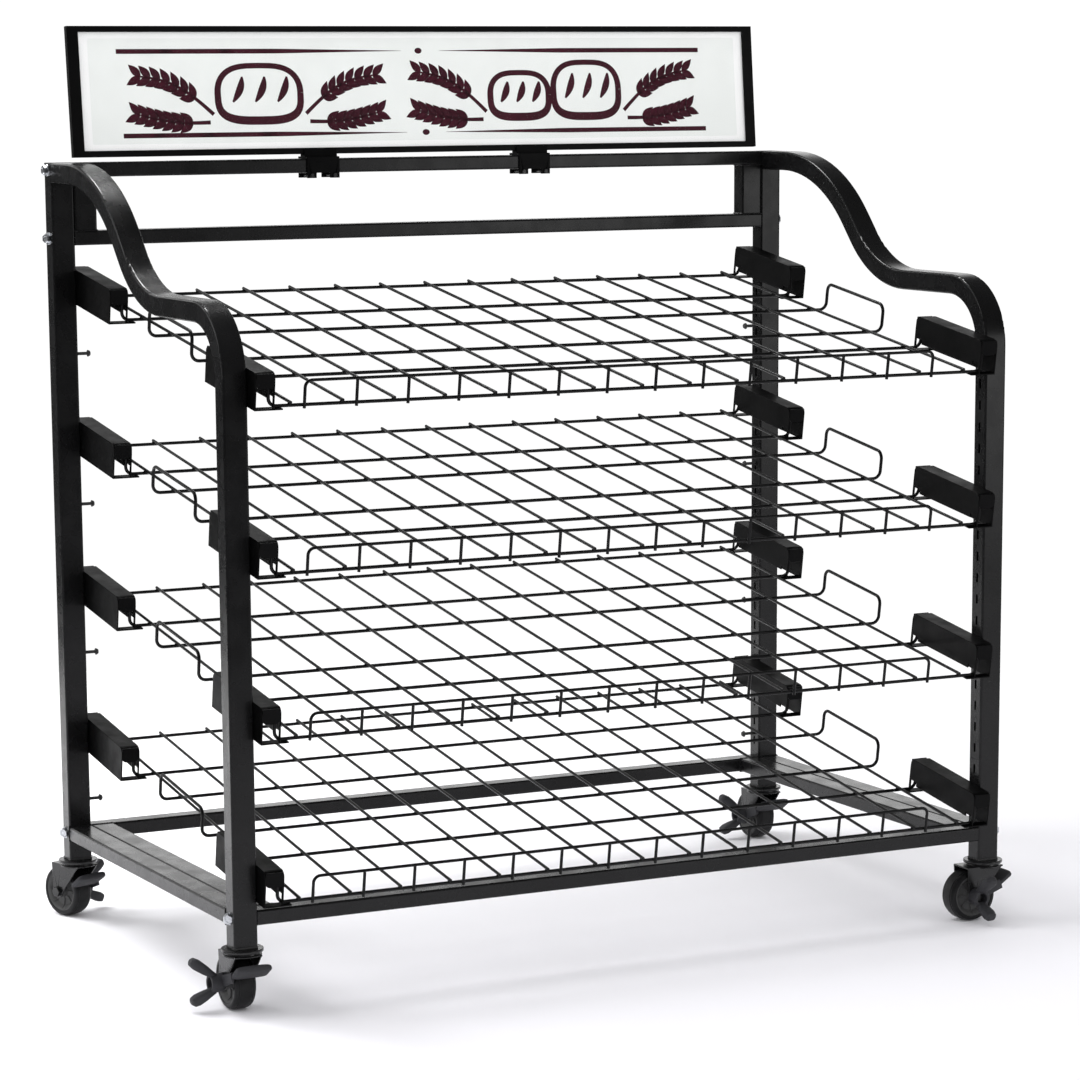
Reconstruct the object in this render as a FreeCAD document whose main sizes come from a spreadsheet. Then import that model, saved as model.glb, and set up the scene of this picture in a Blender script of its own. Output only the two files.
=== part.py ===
"""Bakery bread rack: four sloping wire shelves in a square-tube frame on four locking casters.

Millimetres, +Z up, +X to the right, the front towards -Y.  The origin is on the floor, under the
middle of the rack.  Every driving size is a cell of the sheet "sizes": pieces are bound to those
cells by expressions, or read them through size().
"""
import FreeCAD, Part
import math
import os

import Sketcher

Vector = FreeCAD.Vector
Rotation = FreeCAD.Rotation
Placement = FreeCAD.Placement

X_AXIS = Vector(1, 0, 0)
Y_AXIS = Vector(0, 1, 0)
Z_AXIS = Vector(0, 0, 1)

doc = FreeCAD.newDocument("bread_rack")
sheet = doc.addObject("Spreadsheet::Sheet", "sizes")

# alias, number in millimetres, degrees or pieces, and what it is
SIZES = [
    ("rack_width", 1270, "outside faces of the posts, left to right"),
    ("rack_depth", 700, "outside faces of the posts, front to back"),
    ("top_room", 204, "top of the header above the top shelf's rear wire"),
    ("post_foot", 96, "cut end of the posts above the floor"),
    ("post_width", 36, "post section, left to right"),
    ("post_depth", 30, "post section, front to back"),
    ("tube_wall", 1.5, "wall of every tube"),
    ("tube_corner", 3, "outer corner radius of every tube"),
    ("rail_height", 22, "height of the header and base rails"),
    ("base_level", 125, "underside of the base rails"),
    ("header_drop", 102, "top of the header down to the top of its lower rail"),
    ("arm_drop", 176, "upper run of a side tube down to its arm"),
    ("shoulder_reach", 136, "corner of the upper run, behind the middle of the rack"),
    ("elbow_reach", 28, "corner of the arm, in front of the middle of the rack"),
    ("shoulder_radius", 270, "bend from the upper run into the slope"),
    ("elbow_radius", 195, "bend from the slope into the arm"),
    ("wrist_radius", 90, "bend from the arm into the front post"),
    ("shelf_count", 4, "shelves"),
    ("lowest_shelf_level", 270, "rear wire of the lowest shelf above the floor"),
    ("shelf_pitch", 230, "from one shelf to the next"),
    ("shelf_fall", 102.5, "fall of a shelf from the rear posts to the front posts"),
    ("shelf_setback", 20, "rear wire behind the middle of the rear posts"),
    ("shelf_gap", 54, "first and last cross wire from the posts"),
    ("shelf_depth", 731, "centres of the rear and the front wire, along the slope"),
    ("bay_count", 14, "bays between the cross wires"),
    ("frame_wire", 5, "diameter of the left-to-right wires"),
    ("cross_wire", 4.5, "diameter of the front-to-back wires"),
    ("wire_overhang", 4, "cross wires beyond the rear and the front wire"),
    ("loop_length", 168, "standing loop, front to back"),
    ("loop_height", 42, "standing loop, above its wires"),
    ("loop_overhang", 32, "standing loop outside the end cross wire"),
    ("loop_corner", 12, "bend radius of the frame wires"),
    ("guard_wire", 4.5, "diameter of the front guard's wires"),
    ("guard_height", 35, "front guard's top wire above the front wire"),
    ("guard_corner", 10, "bend radius of the front guard"),
    ("guard_inset", 20, "first upright of the guard inside the first cross wire"),
    ("guard_foot", 4, "uprights of the guard below the front wire"),
    ("slots_per_shelf", 7, "bracket slots from one shelf to the next"),
    ("slot_width", 5, "bracket slot, front to back"),
    ("slot_height", 14, "bracket slot, up and down"),
    ("tab_level", 6, "lower hook tab above the wires"),
    ("tab_height", 8, "hook tab, up and down"),
    ("tab_hook", 2.5, "hook of a tab behind the post's wall"),
    ("bracket_sheet", 2, "thickness of the shelf brackets"),
    ("bracket_overhang", 7, "shelf bracket beyond its loop, front and rear"),
    ("bracket_gap", 29, "width of a bracket from the post"),
    ("bracket_headroom", 1.5, "bracket's fold above its loop"),
    ("bracket_corner", 10, "rounded upper corners of the brackets"),
    ("flange_clear", 7, "lower edge of the inner flange above the wires"),
    ("notch_width", 16, "notch at each end of the inner flange"),
    ("notch_top", 14, "top of a flange's notch above the wires"),
    ("leg_width", 4, "leg of the flange beside its notch"),
    ("seat_length", 14, "seat under a wire, along the slope"),
    ("seat_reach", 8, "seat inside the bend of a loop"),
    ("seat_clearance", 0.1, "between a wire and its seat"),
    ("fit_clearance", 0.2, "between pieces that slide into each other"),
    ("bolt_size", 8, "frame bolts"),
    ("bolt_head_width", 13, "across the flats of the bolt heads"),
    ("bolt_head_height", 6, "height of the bolt heads"),
    ("washer_size", 18, "diameter of the washers"),
    ("washer_thick", 2, "thickness of the washers"),
    ("nut_length", 14, "threaded block in a rail's end"),
    ("cap_thick", 3, "visible part of a post's top cap"),
    ("cap_plug", 2.5, "part of a top cap inside the post"),
    ("peg_rod", 5, "diameter of the pegs"),
    ("peg_reach", 20, "pegs, from the post to the head"),
    ("peg_head", 11, "diameter of the pegs' heads"),
    ("peg_head_thick", 4, "thickness of the pegs' heads"),
    ("peg_drop", 84, "pegs below the rear wire of their shelf"),
    ("sign_gap", 5, "ends of the sign inside the posts' inner faces"),
    ("sign_height", 196, "sign, along its lean"),
    ("sign_depth", 10, "sign, front to back"),
    ("sign_lean_angle", 5.5, "lean of the sign towards the back, degrees"),
    ("sign_side_bar", 18, "left and right bars of the sign's frame"),
    ("sign_end_bar", 9, "top and bottom bars of the sign's frame"),
    ("sign_lip", 2, "lip of the sign's frame in front of the cover"),
    ("sign_rebate", 4, "cover, print and backing behind the bars"),
    ("cover_thick", 1.5, "clear cover of the sign"),
    ("print_thick", 1.5, "printed panel of the sign"),
    ("clip_width", 55, "sign clip, left to right"),
    ("clip_left", 190, "left clip from the middle of the rack"),
    ("clip_right", 178, "right clip from the middle of the rack"),
    ("clip_seat", 7, "sign's lower edge above the header"),
    ("clip_wall", 3, "walls of the clips"),
    ("clip_lip", 8, "lips of the clips beside the sign"),
    ("clip_leg", 16, "each leg of a clip, left to right"),
    ("clip_foot", 8, "legs of a clip below the rail"),
    ("clip_screw", 4, "clamp screws of the clips"),
    ("clip_screw_head", 7, "diameter of the clamp screws' heads"),
    ("clip_screw_head_thick", 2.5, "thickness of the clamp screws' heads"),
    ("wheel_size", 80, "diameter of the wheels"),
    ("wheel_width", 32, "width of the tyres"),
    ("tyre_thick", 8, "thickness of the tyres"),
    ("tyre_round", 4, "rounding of the tyres' edges"),
    ("rim_thick", 4, "wheel rim under the tyre"),
    ("web_thick", 8, "web of the wheels"),
    ("boss_size", 22, "boss of the wheels"),
    ("boss_width", 35, "width of the wheels' bosses"),
    ("axle_size", 8, "diameter of the axles"),
    ("axle_head", 14, "head and nut of the axles, diameter and across the flats"),
    ("axle_head_height", 5, "height of the axles' heads and nuts"),
    ("running_clearance", 0.05, "around a turning axle, all round"),
    ("side_clearance", 0.5, "between faces that turn past each other"),
    ("caster_trail", 26, "axle behind the swivel axis"),
    ("fork_sheet", 2.5, "thickness of the forks"),
    ("fork_front", 24, "fork's top plate in front of the swivel axis"),
    ("fork_rear", 14, "fork's top plate behind the axle"),
    ("fork_leg", 22, "width of a fork's leg at the axle"),
    ("race_size", 50, "diameter of a fork's swivel race"),
    ("race_height", 3, "height of a fork's swivel race"),
    ("dish_size", 60, "diameter of a stem's dish"),
    ("stem_size", 12, "diameter of a stem"),
    ("stem_head", 18, "riveted head of a stem"),
    ("stem_head_height", 3, "height of a riveted head"),
    ("stem_top_gap", 6, "stem below the top of its socket"),
    ("crown_clearance", 2.5, "between a tyre and the fork's top plate"),
    ("socket_flange", 3, "socket's flange under the post"),
    ("socket_gap", 2, "socket below the frame bolt"),
    ("lever_cheek", 4, "cheek of a brake lever"),
    ("collar_size", 27, "collar of a brake lever around the axle's head"),
    ("collar_bore", 17, "opening of a brake lever's collar"),
    ("collar_depth", 19, "collar and cheek of a brake lever, along the axle"),
    ("arm_width", 18, "arm of a brake lever"),
    ("arm_angle", 20, "rise of a brake lever's arm, degrees"),
    ("pedal_start", 45.5, "inner edge of a pedal from the axle"),
    ("pedal_angle", 36, "rise of a pedal, degrees"),
    ("pedal_length", 24, "pedal of a brake lever, outwards"),
    ("pedal_thick", 9, "thickness of a brake lever's pedal"),
    ("pedal_width", 55, "pedal of a brake lever, along the axle"),
    ("wing_width", 18, "side wings of a brake lever, along the wheel"),
    ("wing_thick", 10, "thickness of the side wings"),
    ("wing_root", 10, "roots of the side wings above and below the axle"),
    ("wing_inset", 7, "roots of the side wings inside the collar's end"),
    ("upper_wing_length", 40, "upper side wing"),
    ("upper_wing_angle", 36, "rise of the upper side wing, degrees"),
    ("lower_wing_length", 34, "lower side wing"),
    ("lower_wing_angle", -24, "rise of the lower side wing, degrees"),
]
# levels that follow from the sizes above
LEVELS = [
    ("shelf_level", "=lowest_shelf_level + (shelf_count - 1) * shelf_pitch",
     "rear wire of the top shelf above the floor"),
    ("frame_top", "=shelf_level + top_room", "top of the posts and of the header"),
]
for row, (alias, content, note) in enumerate(SIZES + LEVELS, start=1):
    sheet.set(f"A{row}", alias)
    sheet.set(f"B{row}", str(content))
    sheet.set(f"C{row}", note)
    sheet.setAlias(f"B{row}", alias)
doc.recompute()

CELLS = {alias: f"sizes.{alias}" for alias, _, _ in SIZES + LEVELS}
NODES = []


def size(name):
    """The number in the named cell."""
    return float(getattr(sheet, name))


def count(name):
    """The whole number in the named cell."""
    return int(round(size(name)))


def bind(thing, prop, text):
    """Binds a property to an expression in which {name} stands for the named cell."""
    thing.setExpression(prop, text.format(**CELLS))


def node(thing, label):
    """Names a finished sub-part and puts it on the list of files to write."""
    thing.Label = label
    NODES.append(thing)
    return thing


def place(thing, x="0", y="0", z="0", turn=Rotation()):
    """Turns an object and binds its position to three expressions."""
    thing.Placement = Placement(Vector(), turn)
    bind(thing, "Placement.Base.x", x)
    bind(thing, "Placement.Base.y", y)
    bind(thing, "Placement.Base.z", z)
    return thing


def box(name, length, width, height, x="0", y="0", z="0"):
    """A block with its lowest corner at x, y, z."""
    block = doc.addObject("Part::Box", name)
    bind(block, "Length", length)
    bind(block, "Width", width)
    bind(block, "Height", height)
    return place(block, x, y, z)


def rod(name, radius, length, x="0", y="0", z="0", turn=Rotation()):
    """A round bar from x, y, z along the turned Z axis."""
    bar = doc.addObject("Part::Cylinder", name)
    bind(bar, "Radius", radius)
    bind(bar, "Height", length)
    return place(bar, x, y, z, turn)


def hexagon(name, across_flats, length, x="0", y="0", z="0", turn=Rotation()):
    """A hexagonal bar from x, y, z along the turned Z axis."""
    bar = doc.addObject("Part::Prism", name)
    bar.Polygon = 6
    bind(bar, "Circumradius", f"({across_flats}) / sqrt(3)")
    bind(bar, "Height", length)
    return place(bar, x, y, z, turn)


def cut(name, base, tool):
    """One object less another."""
    result = doc.addObject("Part::Cut", name)
    result.Base = base
    result.Tool = tool
    return result


def fuse(name, pieces):
    """Several objects as one solid."""
    result = doc.addObject("Part::MultiFuse", name)
    result.Shapes = pieces
    result.Refine = True
    return result


def group(name, pieces):
    """Several separate solids in one node."""
    result = doc.addObject("Part::Compound", name)
    result.Links = pieces
    return result


def plain(name, shape, placement=Placement()):
    """A shape made with Part's own functions, in its place."""
    feature = doc.addObject("Part::Feature", name)
    feature.Shape = shape
    feature.Placement = placement
    return feature


TO_X = Rotation(Y_AXIS, 90)
TO_MINUS_X = Rotation(Y_AXIS, -90)
TO_Y = Rotation(X_AXIS, -90)
TO_MINUS_Y = Rotation(X_AXIS, 90)
ALONG_X = Rotation(Y_AXIS, Z_AXIS, X_AXIS, "ZXY")
ALONG_MINUS_Y = Rotation(X_AXIS, 90)

POST_X = "({rack_width} - {post_width}) / 2"
POST_Y = "({rack_depth} - {post_depth}) / 2"
INNER_X = "({rack_width} / 2 - {post_width})"
TOP_RAIL = "({frame_top} - {rail_height} / 2)"
LOWER_RAIL = "({frame_top} - {header_drop} - {rail_height} / 2)"
BASE_RAIL = "({base_level} + {rail_height} / 2)"
SLOT_PITCH = "({shelf_pitch} / {slots_per_shelf})"
SIDES = (("left", -1), ("right", 1))
ENDS = (("rear", 1), ("front", -1))

post_y = (size("rack_depth") - size("post_depth")) / 2
inner_x = size("rack_width") / 2 - size("post_width")


# ---------------------------------------------------------------- tubes

def plane_sketch(body, name, role):
    """An empty sketch on one of a body's own origin planes."""
    sketch = body.newObject("Sketcher::SketchObject", name)
    for feature in body.Origin.OriginFeatures:
        if feature.Role == role:
            sketch.AttachmentSupport = (feature, [""])
    sketch.MapMode = "FlatFace"
    sketch.Visibility = False
    return sketch


def dimension(sketch, name, rule, text):
    """Adds a named dimension to a sketch and binds it to an expression."""
    number = sketch.addConstraint(rule)
    sketch.renameConstraint(number, name)
    bind(sketch, f"Constraints.{name}", text)


def rounded_rectangle(sketch, tag, width, height, wall=None):
    """Adds a rectangle with a tube's corners about the sketch's origin.

    width, height and wall name cells; with a wall the rectangle is the inside of the tube.
    """
    inset = size(wall) if wall else 0
    inset_text = f"{{{wall}}}" if wall else "0"
    r = size("tube_corner") - inset
    half_w = size(width) / 2 - inset
    half_h = size(height) / 2 - inset
    first = sketch.GeometryCount
    bottom, right, top, left = sides = list(range(first, first + 4))
    arcs = list(range(first + 4, first + 8))
    sketch.addGeometry([
        Part.LineSegment(Vector(r - half_w, -half_h, 0), Vector(half_w - r, -half_h, 0)),
        Part.LineSegment(Vector(half_w, r - half_h, 0), Vector(half_w, half_h - r, 0)),
        Part.LineSegment(Vector(half_w - r, half_h, 0), Vector(r - half_w, half_h, 0)),
        Part.LineSegment(Vector(-half_w, half_h - r, 0), Vector(-half_w, r - half_h, 0)),
    ], False)
    quarter = math.pi / 2
    centres = [(half_w - r, r - half_h), (half_w - r, half_h - r),
               (r - half_w, half_h - r), (r - half_w, r - half_h)]
    for index, (x, y) in enumerate(centres):
        circle = Part.Circle(Vector(x, y, 0), Z_AXIS, r)
        start = (index - 1) * quarter
        sketch.addGeometry(Part.ArcOfCircle(circle, start, start + quarter), False)
    for index, arc in enumerate(arcs):
        sketch.addConstraint(Sketcher.Constraint("Tangent", sides[index], 2, arc, 1))
        sketch.addConstraint(Sketcher.Constraint("Tangent", arc, 2, sides[(index + 1) % 4], 1))
    for arc in arcs[1:]:
        sketch.addConstraint(Sketcher.Constraint("Equal", arcs[0], arc))
    sketch.addConstraint(Sketcher.Constraint("Symmetric", bottom, 1, bottom, 2, -2))
    sketch.addConstraint(Sketcher.Constraint("Symmetric", right, 1, right, 2, -1))
    dimension(sketch, f"{tag}_width",
              Sketcher.Constraint("DistanceX", left, 1, right, 1, 2 * half_w),
              f"{{{width}}} - 2 * {inset_text}")
    dimension(sketch, f"{tag}_height",
              Sketcher.Constraint("DistanceY", bottom, 1, top, 1, 2 * half_h),
              f"{{{height}}} - 2 * {inset_text}")
    dimension(sketch, f"{tag}_corner", Sketcher.Constraint("Radius", arcs[0], r),
              f"{{tube_corner}} - {inset_text}")


def tube_section(body, width, height):
    """The hollow section of a tube, on its body's XY plane."""
    sketch = plane_sketch(body, f"{body.Name}_section", "XY_Plane")
    rounded_rectangle(sketch, "outer", width, height)
    rounded_rectangle(sketch, "inner", width, height, "tube_wall")
    return sketch


def straight_tube(name, width, height, length, x, y, z, turn=Rotation()):
    """A straight tube from x, y, z along the turned Z axis."""
    body = doc.addObject("PartDesign::Body", name)
    pad = body.newObject("PartDesign::Pad", f"{name}_pad")
    pad.Profile = tube_section(body, width, height)
    bind(pad, "Length", length)
    return place(body, x, y, z, turn)


def rounded_runs(points, radii):
    """Straight runs through the points and the tangent arcs that join them."""
    pieces = []
    start = points[0]
    for before, corner, after, radius in zip(points, points[1:], points[2:], radii):
        into = (corner - before).normalize()
        out = (after - corner).normalize()
        half_turn = into.getAngle(out) / 2
        reach = radius * math.tan(half_turn)
        entry = corner - into * reach
        leave = corner + out * reach
        sag = radius / math.cos(half_turn) - radius
        middle = corner + (out - into).normalize() * sag
        pieces.append(Part.LineSegment(start, entry))
        pieces.append(Part.Arc(entry, middle, leave))
        start = leave
    pieces.append(Part.LineSegment(start, points[-1]))
    return pieces


def slot_row(body, side_sign, top, number):
    """A row of bracket slots through a post's inner wall, downwards from the given height."""
    sketch = plane_sketch(body, f"{body.Name}_slot", "YZ_Plane")
    half = size("slot_width") / 2
    low = size("slot_height")
    high = 2 * low
    corners = [Vector(-half, low, 0), Vector(half, low, 0),
               Vector(half, high, 0), Vector(-half, high, 0)]
    for start, end in zip(corners, corners[1:] + corners[:1]):
        sketch.addGeometry(Part.LineSegment(start, end), False)
    for edge in range(4):
        sketch.addConstraint(Sketcher.Constraint("Coincident", edge, 2, (edge + 1) % 4, 1))
    sketch.addConstraint(Sketcher.Constraint("Vertical", 1))
    sketch.addConstraint(Sketcher.Constraint("Vertical", 3))
    sketch.addConstraint(Sketcher.Constraint("Symmetric", 0, 1, 0, 2, -2))
    sketch.addConstraint(Sketcher.Constraint("Horizontal", 2))
    dimension(sketch, "width", Sketcher.Constraint("DistanceX", 0, 1, 0, 2, 2 * half),
              "{slot_width}")
    dimension(sketch, "height", Sketcher.Constraint("DistanceY", 1, 1, 1, 2, high - low),
              "{slot_height}")
    dimension(sketch, "level", Sketcher.Constraint("DistanceY", -1, 1, 0, 2, low),
              f"{top} - {{post_foot}} - {{slot_height}} / 2")
    slot = body.newObject("PartDesign::Pocket", f"{body.Name}_slot_cut")
    slot.Profile = sketch
    slot.Reversed = side_sign < 0
    bind(slot, "Length", "{post_width} / 2")
    row = body.newObject("PartDesign::LinearPattern", f"{body.Name}_slots")
    row.Originals = [slot]
    row.Direction = (sketch, ["V_Axis"])
    row.Reversed = True
    row.Mode = "Spacing"
    bind(row, "Offset", SLOT_PITCH)
    row.Occurrences = number
    body.Tip = row


def bolt_holes(body, levels):
    """Holes right through a post, across the rack, at the given heights."""
    sketch = plane_sketch(body, f"{body.Name}_holes", "YZ_Plane")
    for number, level in enumerate(levels):
        start = size("rail_height") * (number + 1)
        radius = size("bolt_size") / 2
        sketch.addGeometry(Part.Circle(Vector(0, start, 0), Z_AXIS, radius), False)
        sketch.addConstraint(Sketcher.Constraint("PointOnObject", number, 3, -2))
        dimension(sketch, f"level_{number + 1}",
                  Sketcher.Constraint("DistanceY", -1, 1, number, 3, start),
                  f"{level} - {{post_foot}}")
        dimension(sketch, f"radius_{number + 1}", Sketcher.Constraint("Radius", number, radius),
                  "{bolt_size} / 2 + {fit_clearance}")
    holes = body.newObject("PartDesign::Pocket", f"{body.Name}_bolt_holes")
    holes.Profile = sketch
    holes.SideType = "Symmetric"
    bind(holes, "Length", "2 * {post_width}")
    body.Tip = holes


WIRE_AT_POST = "({shelf_level} - {shelf_setback} * {shelf_fall} / ({rack_depth} - {post_depth}))"
TOP_SLOT = f"({WIRE_AT_POST} + {{tab_level}} + {SLOT_PITCH})"
# down to the lower tabs of the lowest front brackets, and as far down at the rear
front_slots = (count("shelf_count") - 1) * count("slots_per_shelf") + 2
rear_slots = front_slots + int(size("shelf_fall") * count("slots_per_shelf") / size("shelf_pitch"))


def side_tube(side, sign):
    """The bent tube of one side: front post, arm, slope and upper run, back to the rear post."""
    body = doc.addObject("PartDesign::Body", f"{side}_bend")
    section = tube_section(body, "post_width", "post_depth")
    run = size("frame_top") - size("post_depth") / 2 - size("post_foot")
    arm = run - size("arm_drop")
    corners = [
        Vector(0, 0, 0),
        Vector(0, arm, 0),
        Vector(post_y - size("elbow_reach"), arm, 0),
        Vector(post_y + size("shoulder_reach"), run, 0),
        Vector(2 * post_y - size("post_depth") / 2, run, 0),
    ]
    radii = [size(name) for name in ("wrist_radius", "elbow_radius", "shoulder_radius")]
    path = plane_sketch(body, f"{side}_bend_path", "YZ_Plane")
    path.addGeometry(rounded_runs(corners, radii), False)
    pipe = body.newObject("PartDesign::AdditivePipe", f"{side}_bend_pipe")
    pipe.Profile = section
    pipe.Spine = path
    bolt_holes(body, [BASE_RAIL])
    slot_row(body, sign, f"{TOP_SLOT} - {{shelf_fall}}", front_slots)
    place(body, f"{sign} * {POST_X}", f"-{POST_Y}", "{post_foot}")
    return node(body, f"{side}_side_tube")


def rear_post(side, sign):
    """The straight post at the back of one side, under its cap."""
    body = straight_tube(f"{side}_post", "post_width", "post_depth",
                         "{frame_top} - {cap_thick} - {post_foot}",
                         f"{sign} * {POST_X}", POST_Y, "{post_foot}")
    bolt_holes(body, [BASE_RAIL, LOWER_RAIL, TOP_RAIL])
    slot_row(body, sign, TOP_SLOT, rear_slots)
    return node(body, f"{side}_rear_post")


def rail_across(name, end, level):
    """A rail from one post's inner face to the other's, at the rear (1) or the front (-1)."""
    return node(straight_tube(name, "post_depth", "rail_height", f"2 * {INNER_X}",
                              f"-{INNER_X}", f"{end} * {POST_Y}", level, ALONG_X), name)


def rail_along(name, x):
    """A base rail from the front to the back."""
    return node(straight_tube(name, "post_width", "rail_height",
                              "{rack_depth} - 2 * {post_depth}",
                              x, "{rack_depth} / 2 - {post_depth}", BASE_RAIL, ALONG_MINUS_Y), name)


for side, sign in SIDES:
    side_tube(side, sign)
    rear_post(side, sign)
    rail_along(f"{side}_bottom_rail", f"{sign} * {POST_X}")
    rail_along(f"base_{side}_rail", f"{sign} * ({POST_X} - {{post_width}})")
rail_across("base_front_rail", -1, BASE_RAIL)
rail_across("base_rear_rail", 1, BASE_RAIL)
rail_across("header_top_rail", 1, TOP_RAIL)
rail_across("header_lower_rail", 1, LOWER_RAIL)
node(group("header_uprights", [
    straight_tube(f"header_{side}_upright", "post_width", "post_depth",
                  "{header_drop} - {rail_height}", f"{sign} * ({POST_X} - {{post_width}})",
                  POST_Y, f"{LOWER_RAIL} + {{rail_height}} / 2")
    for side, sign in SIDES]), "header_uprights")


# ---------------------------------------------------------------- shelves

tilt = math.atan2(size("shelf_fall"), 2 * post_y)
TILTED = Rotation(X_AXIS, math.degrees(tilt))
wire_radius = size("frame_wire") / 2
end_x = inner_x - size("shelf_gap")
loop_x = end_x + size("loop_overhang")
bay = 2 * end_x / count("bay_count")


def shelf_placement(index):
    """A shelf's own frame: the origin in the middle of its rear wire, -Y down the slope."""
    level = size("shelf_level") - index * size("shelf_pitch")
    return Placement(Vector(0, post_y + size("shelf_setback"), level), TILTED)


def bent_wire(points, radii, diameter):
    """A round wire along straight runs joined by arcs; it closes if the points do."""
    path = Part.Wire([piece.toShape() for piece in rounded_runs(points, radii)])
    heading = (points[1] - points[0]).normalize()
    ring = Part.Wire([Part.Circle(points[0], heading, diameter / 2).toShape()])
    return path.makePipeShell([ring], True, False)


def frame_loop(rear):
    """One closed wire: two long runs and, at both ends, a loop standing on them."""
    front = rear - size("loop_length")
    top = size("loop_height")
    points = [Vector(0, rear, 0)]
    for x, first, second in ((loop_x, rear, front), (-loop_x, front, rear)):
        points += [Vector(x, first, 0), Vector(x, first, top),
                   Vector(x, second, top), Vector(x, second, 0)]
    points.append(points[0])
    return bent_wire(points, [size("loop_corner")] * (len(points) - 2), size("frame_wire"))


def shelf_frame_wires(index):
    """The three closed wires of one shelf, evenly spaced from its rear to its front."""
    step = (size("shelf_depth") - size("loop_length")) / 2
    loops = [frame_loop(-number * step) for number in range(3)]
    label = f"shelf_{index + 1}_frame_wires"
    return node(plain(label, Part.makeCompound(loops), shelf_placement(index)), label)


def shelf_cross_wires(index):
    """The front-to-back wires of one shelf, lying on its closed wires."""
    height = (size("frame_wire") + size("cross_wire")) / 2
    wires = []
    for number in range(count("bay_count") + 1):
        wire = doc.addObject("Part::Cylinder", f"shelf_{index + 1}_cross_{number + 1}")
        bind(wire, "Radius", "{cross_wire} / 2")
        bind(wire, "Height", "{shelf_depth} + 2 * {wire_overhang}")
        start = Vector(number * bay - end_x, size("wire_overhang"), height)
        wire.Placement = Placement(start, TO_MINUS_Y)
        wires.append(wire)
    label = f"shelf_{index + 1}_cross_wires"
    wires = group(label, wires)
    wires.Placement = shelf_placement(index)
    return node(wires, label)


def shelf_front_guard(index):
    """The low fence at the front of one shelf: a bent wire with uprights under it."""
    radius = size("guard_wire") / 2
    y = -size("shelf_depth") - wire_radius - radius
    first = size("guard_inset") - end_x
    last = first + (count("bay_count") - 1) * bay
    foot = -size("guard_foot")
    top = size("guard_height")
    points = [Vector(first, y, foot), Vector(first, y, top),
              Vector(last, y, top), Vector(last, y, foot)]
    guard = bent_wire(points, [size("guard_corner")] * 2, size("guard_wire"))
    uprights = [Part.makeCylinder(radius, top - foot, Vector(first + number * bay, y, foot))
                for number in range(1, count("bay_count") - 1)]
    label = f"shelf_{index + 1}_front_guard"
    return node(plain(label, guard.fuse(uprights), shelf_placement(index)), label)


for index in range(count("shelf_count")):
    shelf_frame_wires(index)
    shelf_cross_wires(index)
    shelf_front_guard(index)


# ---------------------------------------------------------------- shelf brackets

def block(low, high):
    """A block between its lowest and its highest corner."""
    extent = high - low
    return Part.makeBox(extent.x, extent.y, extent.z, low)


def bracket(end):
    """A right-hand shelf bracket in its shelf's frame, for the rear (1) or the front (-1) post.

    It is one folded sheet: a plate on the post with two hook tabs, a top fold, an inner flange with a
    notch for the wire at each end, and two seats that carry the wires.
    """
    thick = size("bracket_sheet")
    inner = inner_x - size("bracket_gap")
    rear_wire = 0 if end > 0 else size("loop_length") - size("shelf_depth")
    wires = ((rear_wire, 1), (rear_wire - size("loop_length"), -1))
    rear = rear_wire + size("bracket_overhang")
    front = wires[1][0] - size("bracket_overhang")
    top = size("loop_height") + wire_radius + size("bracket_headroom") + thick
    seat = -wire_radius - size("seat_clearance")
    channel = block(Vector(inner, front, seat - thick), Vector(inner_x, rear, top))
    corners = [number for number, edge in enumerate(channel.Edges)
               if abs(edge.CenterOfMass.z - top) < 1e-6 and abs(edge.CenterOfMass.x - inner) > 1e-6
               and abs(edge.CenterOfMass.x - inner_x) > 1e-6]
    channel = channel.makeFillet(size("bracket_corner"), [channel.Edges[n] for n in corners])
    channel = channel.cut(block(Vector(inner + thick, front, seat - thick),
                                Vector(inner_x - thick, rear, top - thick)))
    channel = channel.cut(block(Vector(inner, front, seat - thick),
                                Vector(inner + thick, rear, size("flange_clear"))))
    seat_x = loop_x - size("loop_corner") - size("seat_reach")
    for wire, outward in wires:
        tip = wire + outward * size("bracket_overhang")
        root = tip - outward * size("leg_width")
        leg = block(Vector(inner, min(tip, root), -wire_radius),
                    Vector(inner + thick, max(tip, root), size("notch_top") + thick))
        far = root - outward * size("notch_width")
        notch = block(Vector(inner, min(root, far), -wire_radius),
                      Vector(inner + thick, max(root, far), size("notch_top")))
        channel = channel.fuse(leg).cut(notch)
        back = tip - outward * size("seat_length")
        channel = channel.fuse(block(Vector(seat_x, min(tip, back), seat - thick),
                                     Vector(inner_x, max(tip, back), seat)))
    post = Vector(0, (end * post_y - post_y - size("shelf_setback")), 0)
    post.z = post.y * math.tan(tilt)
    upright = Placement(TILTED.inverted().multVec(post), TILTED.inverted())
    wall = inner_x + size("tube_wall") + size("fit_clearance")
    pitch = size("shelf_pitch") / count("slots_per_shelf")
    for level in (size("tab_level"), size("tab_level") + pitch):
        low = level - size("tab_height") / 2
        tab = block(Vector(inner_x - thick, -thick / 2, low),
                    Vector(wall + size("tab_hook"), thick / 2, level + size("tab_height") / 2))
        hook = block(Vector(wall, -thick / 2, low - size("tab_hook")),
                     Vector(wall + size("tab_hook"), thick / 2, level))
        channel = channel.fuse(tab.fuse(hook).transformed(upright.toMatrix(), True))
    return channel.removeSplitter()


brackets = []
for _, end in ENDS:
    right_hand = bracket(end)
    left_hand = right_hand.mirror(Vector(), X_AXIS)
    for index in range(count("shelf_count")):
        for hand in (right_hand, left_hand):
            brackets.append(hand.transformed(shelf_placement(index).toMatrix(), True))
node(plain("shelf_brackets", Part.makeCompound(brackets)), "shelf_brackets")


# ---------------------------------------------------------------- bolts, caps and pegs

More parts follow.
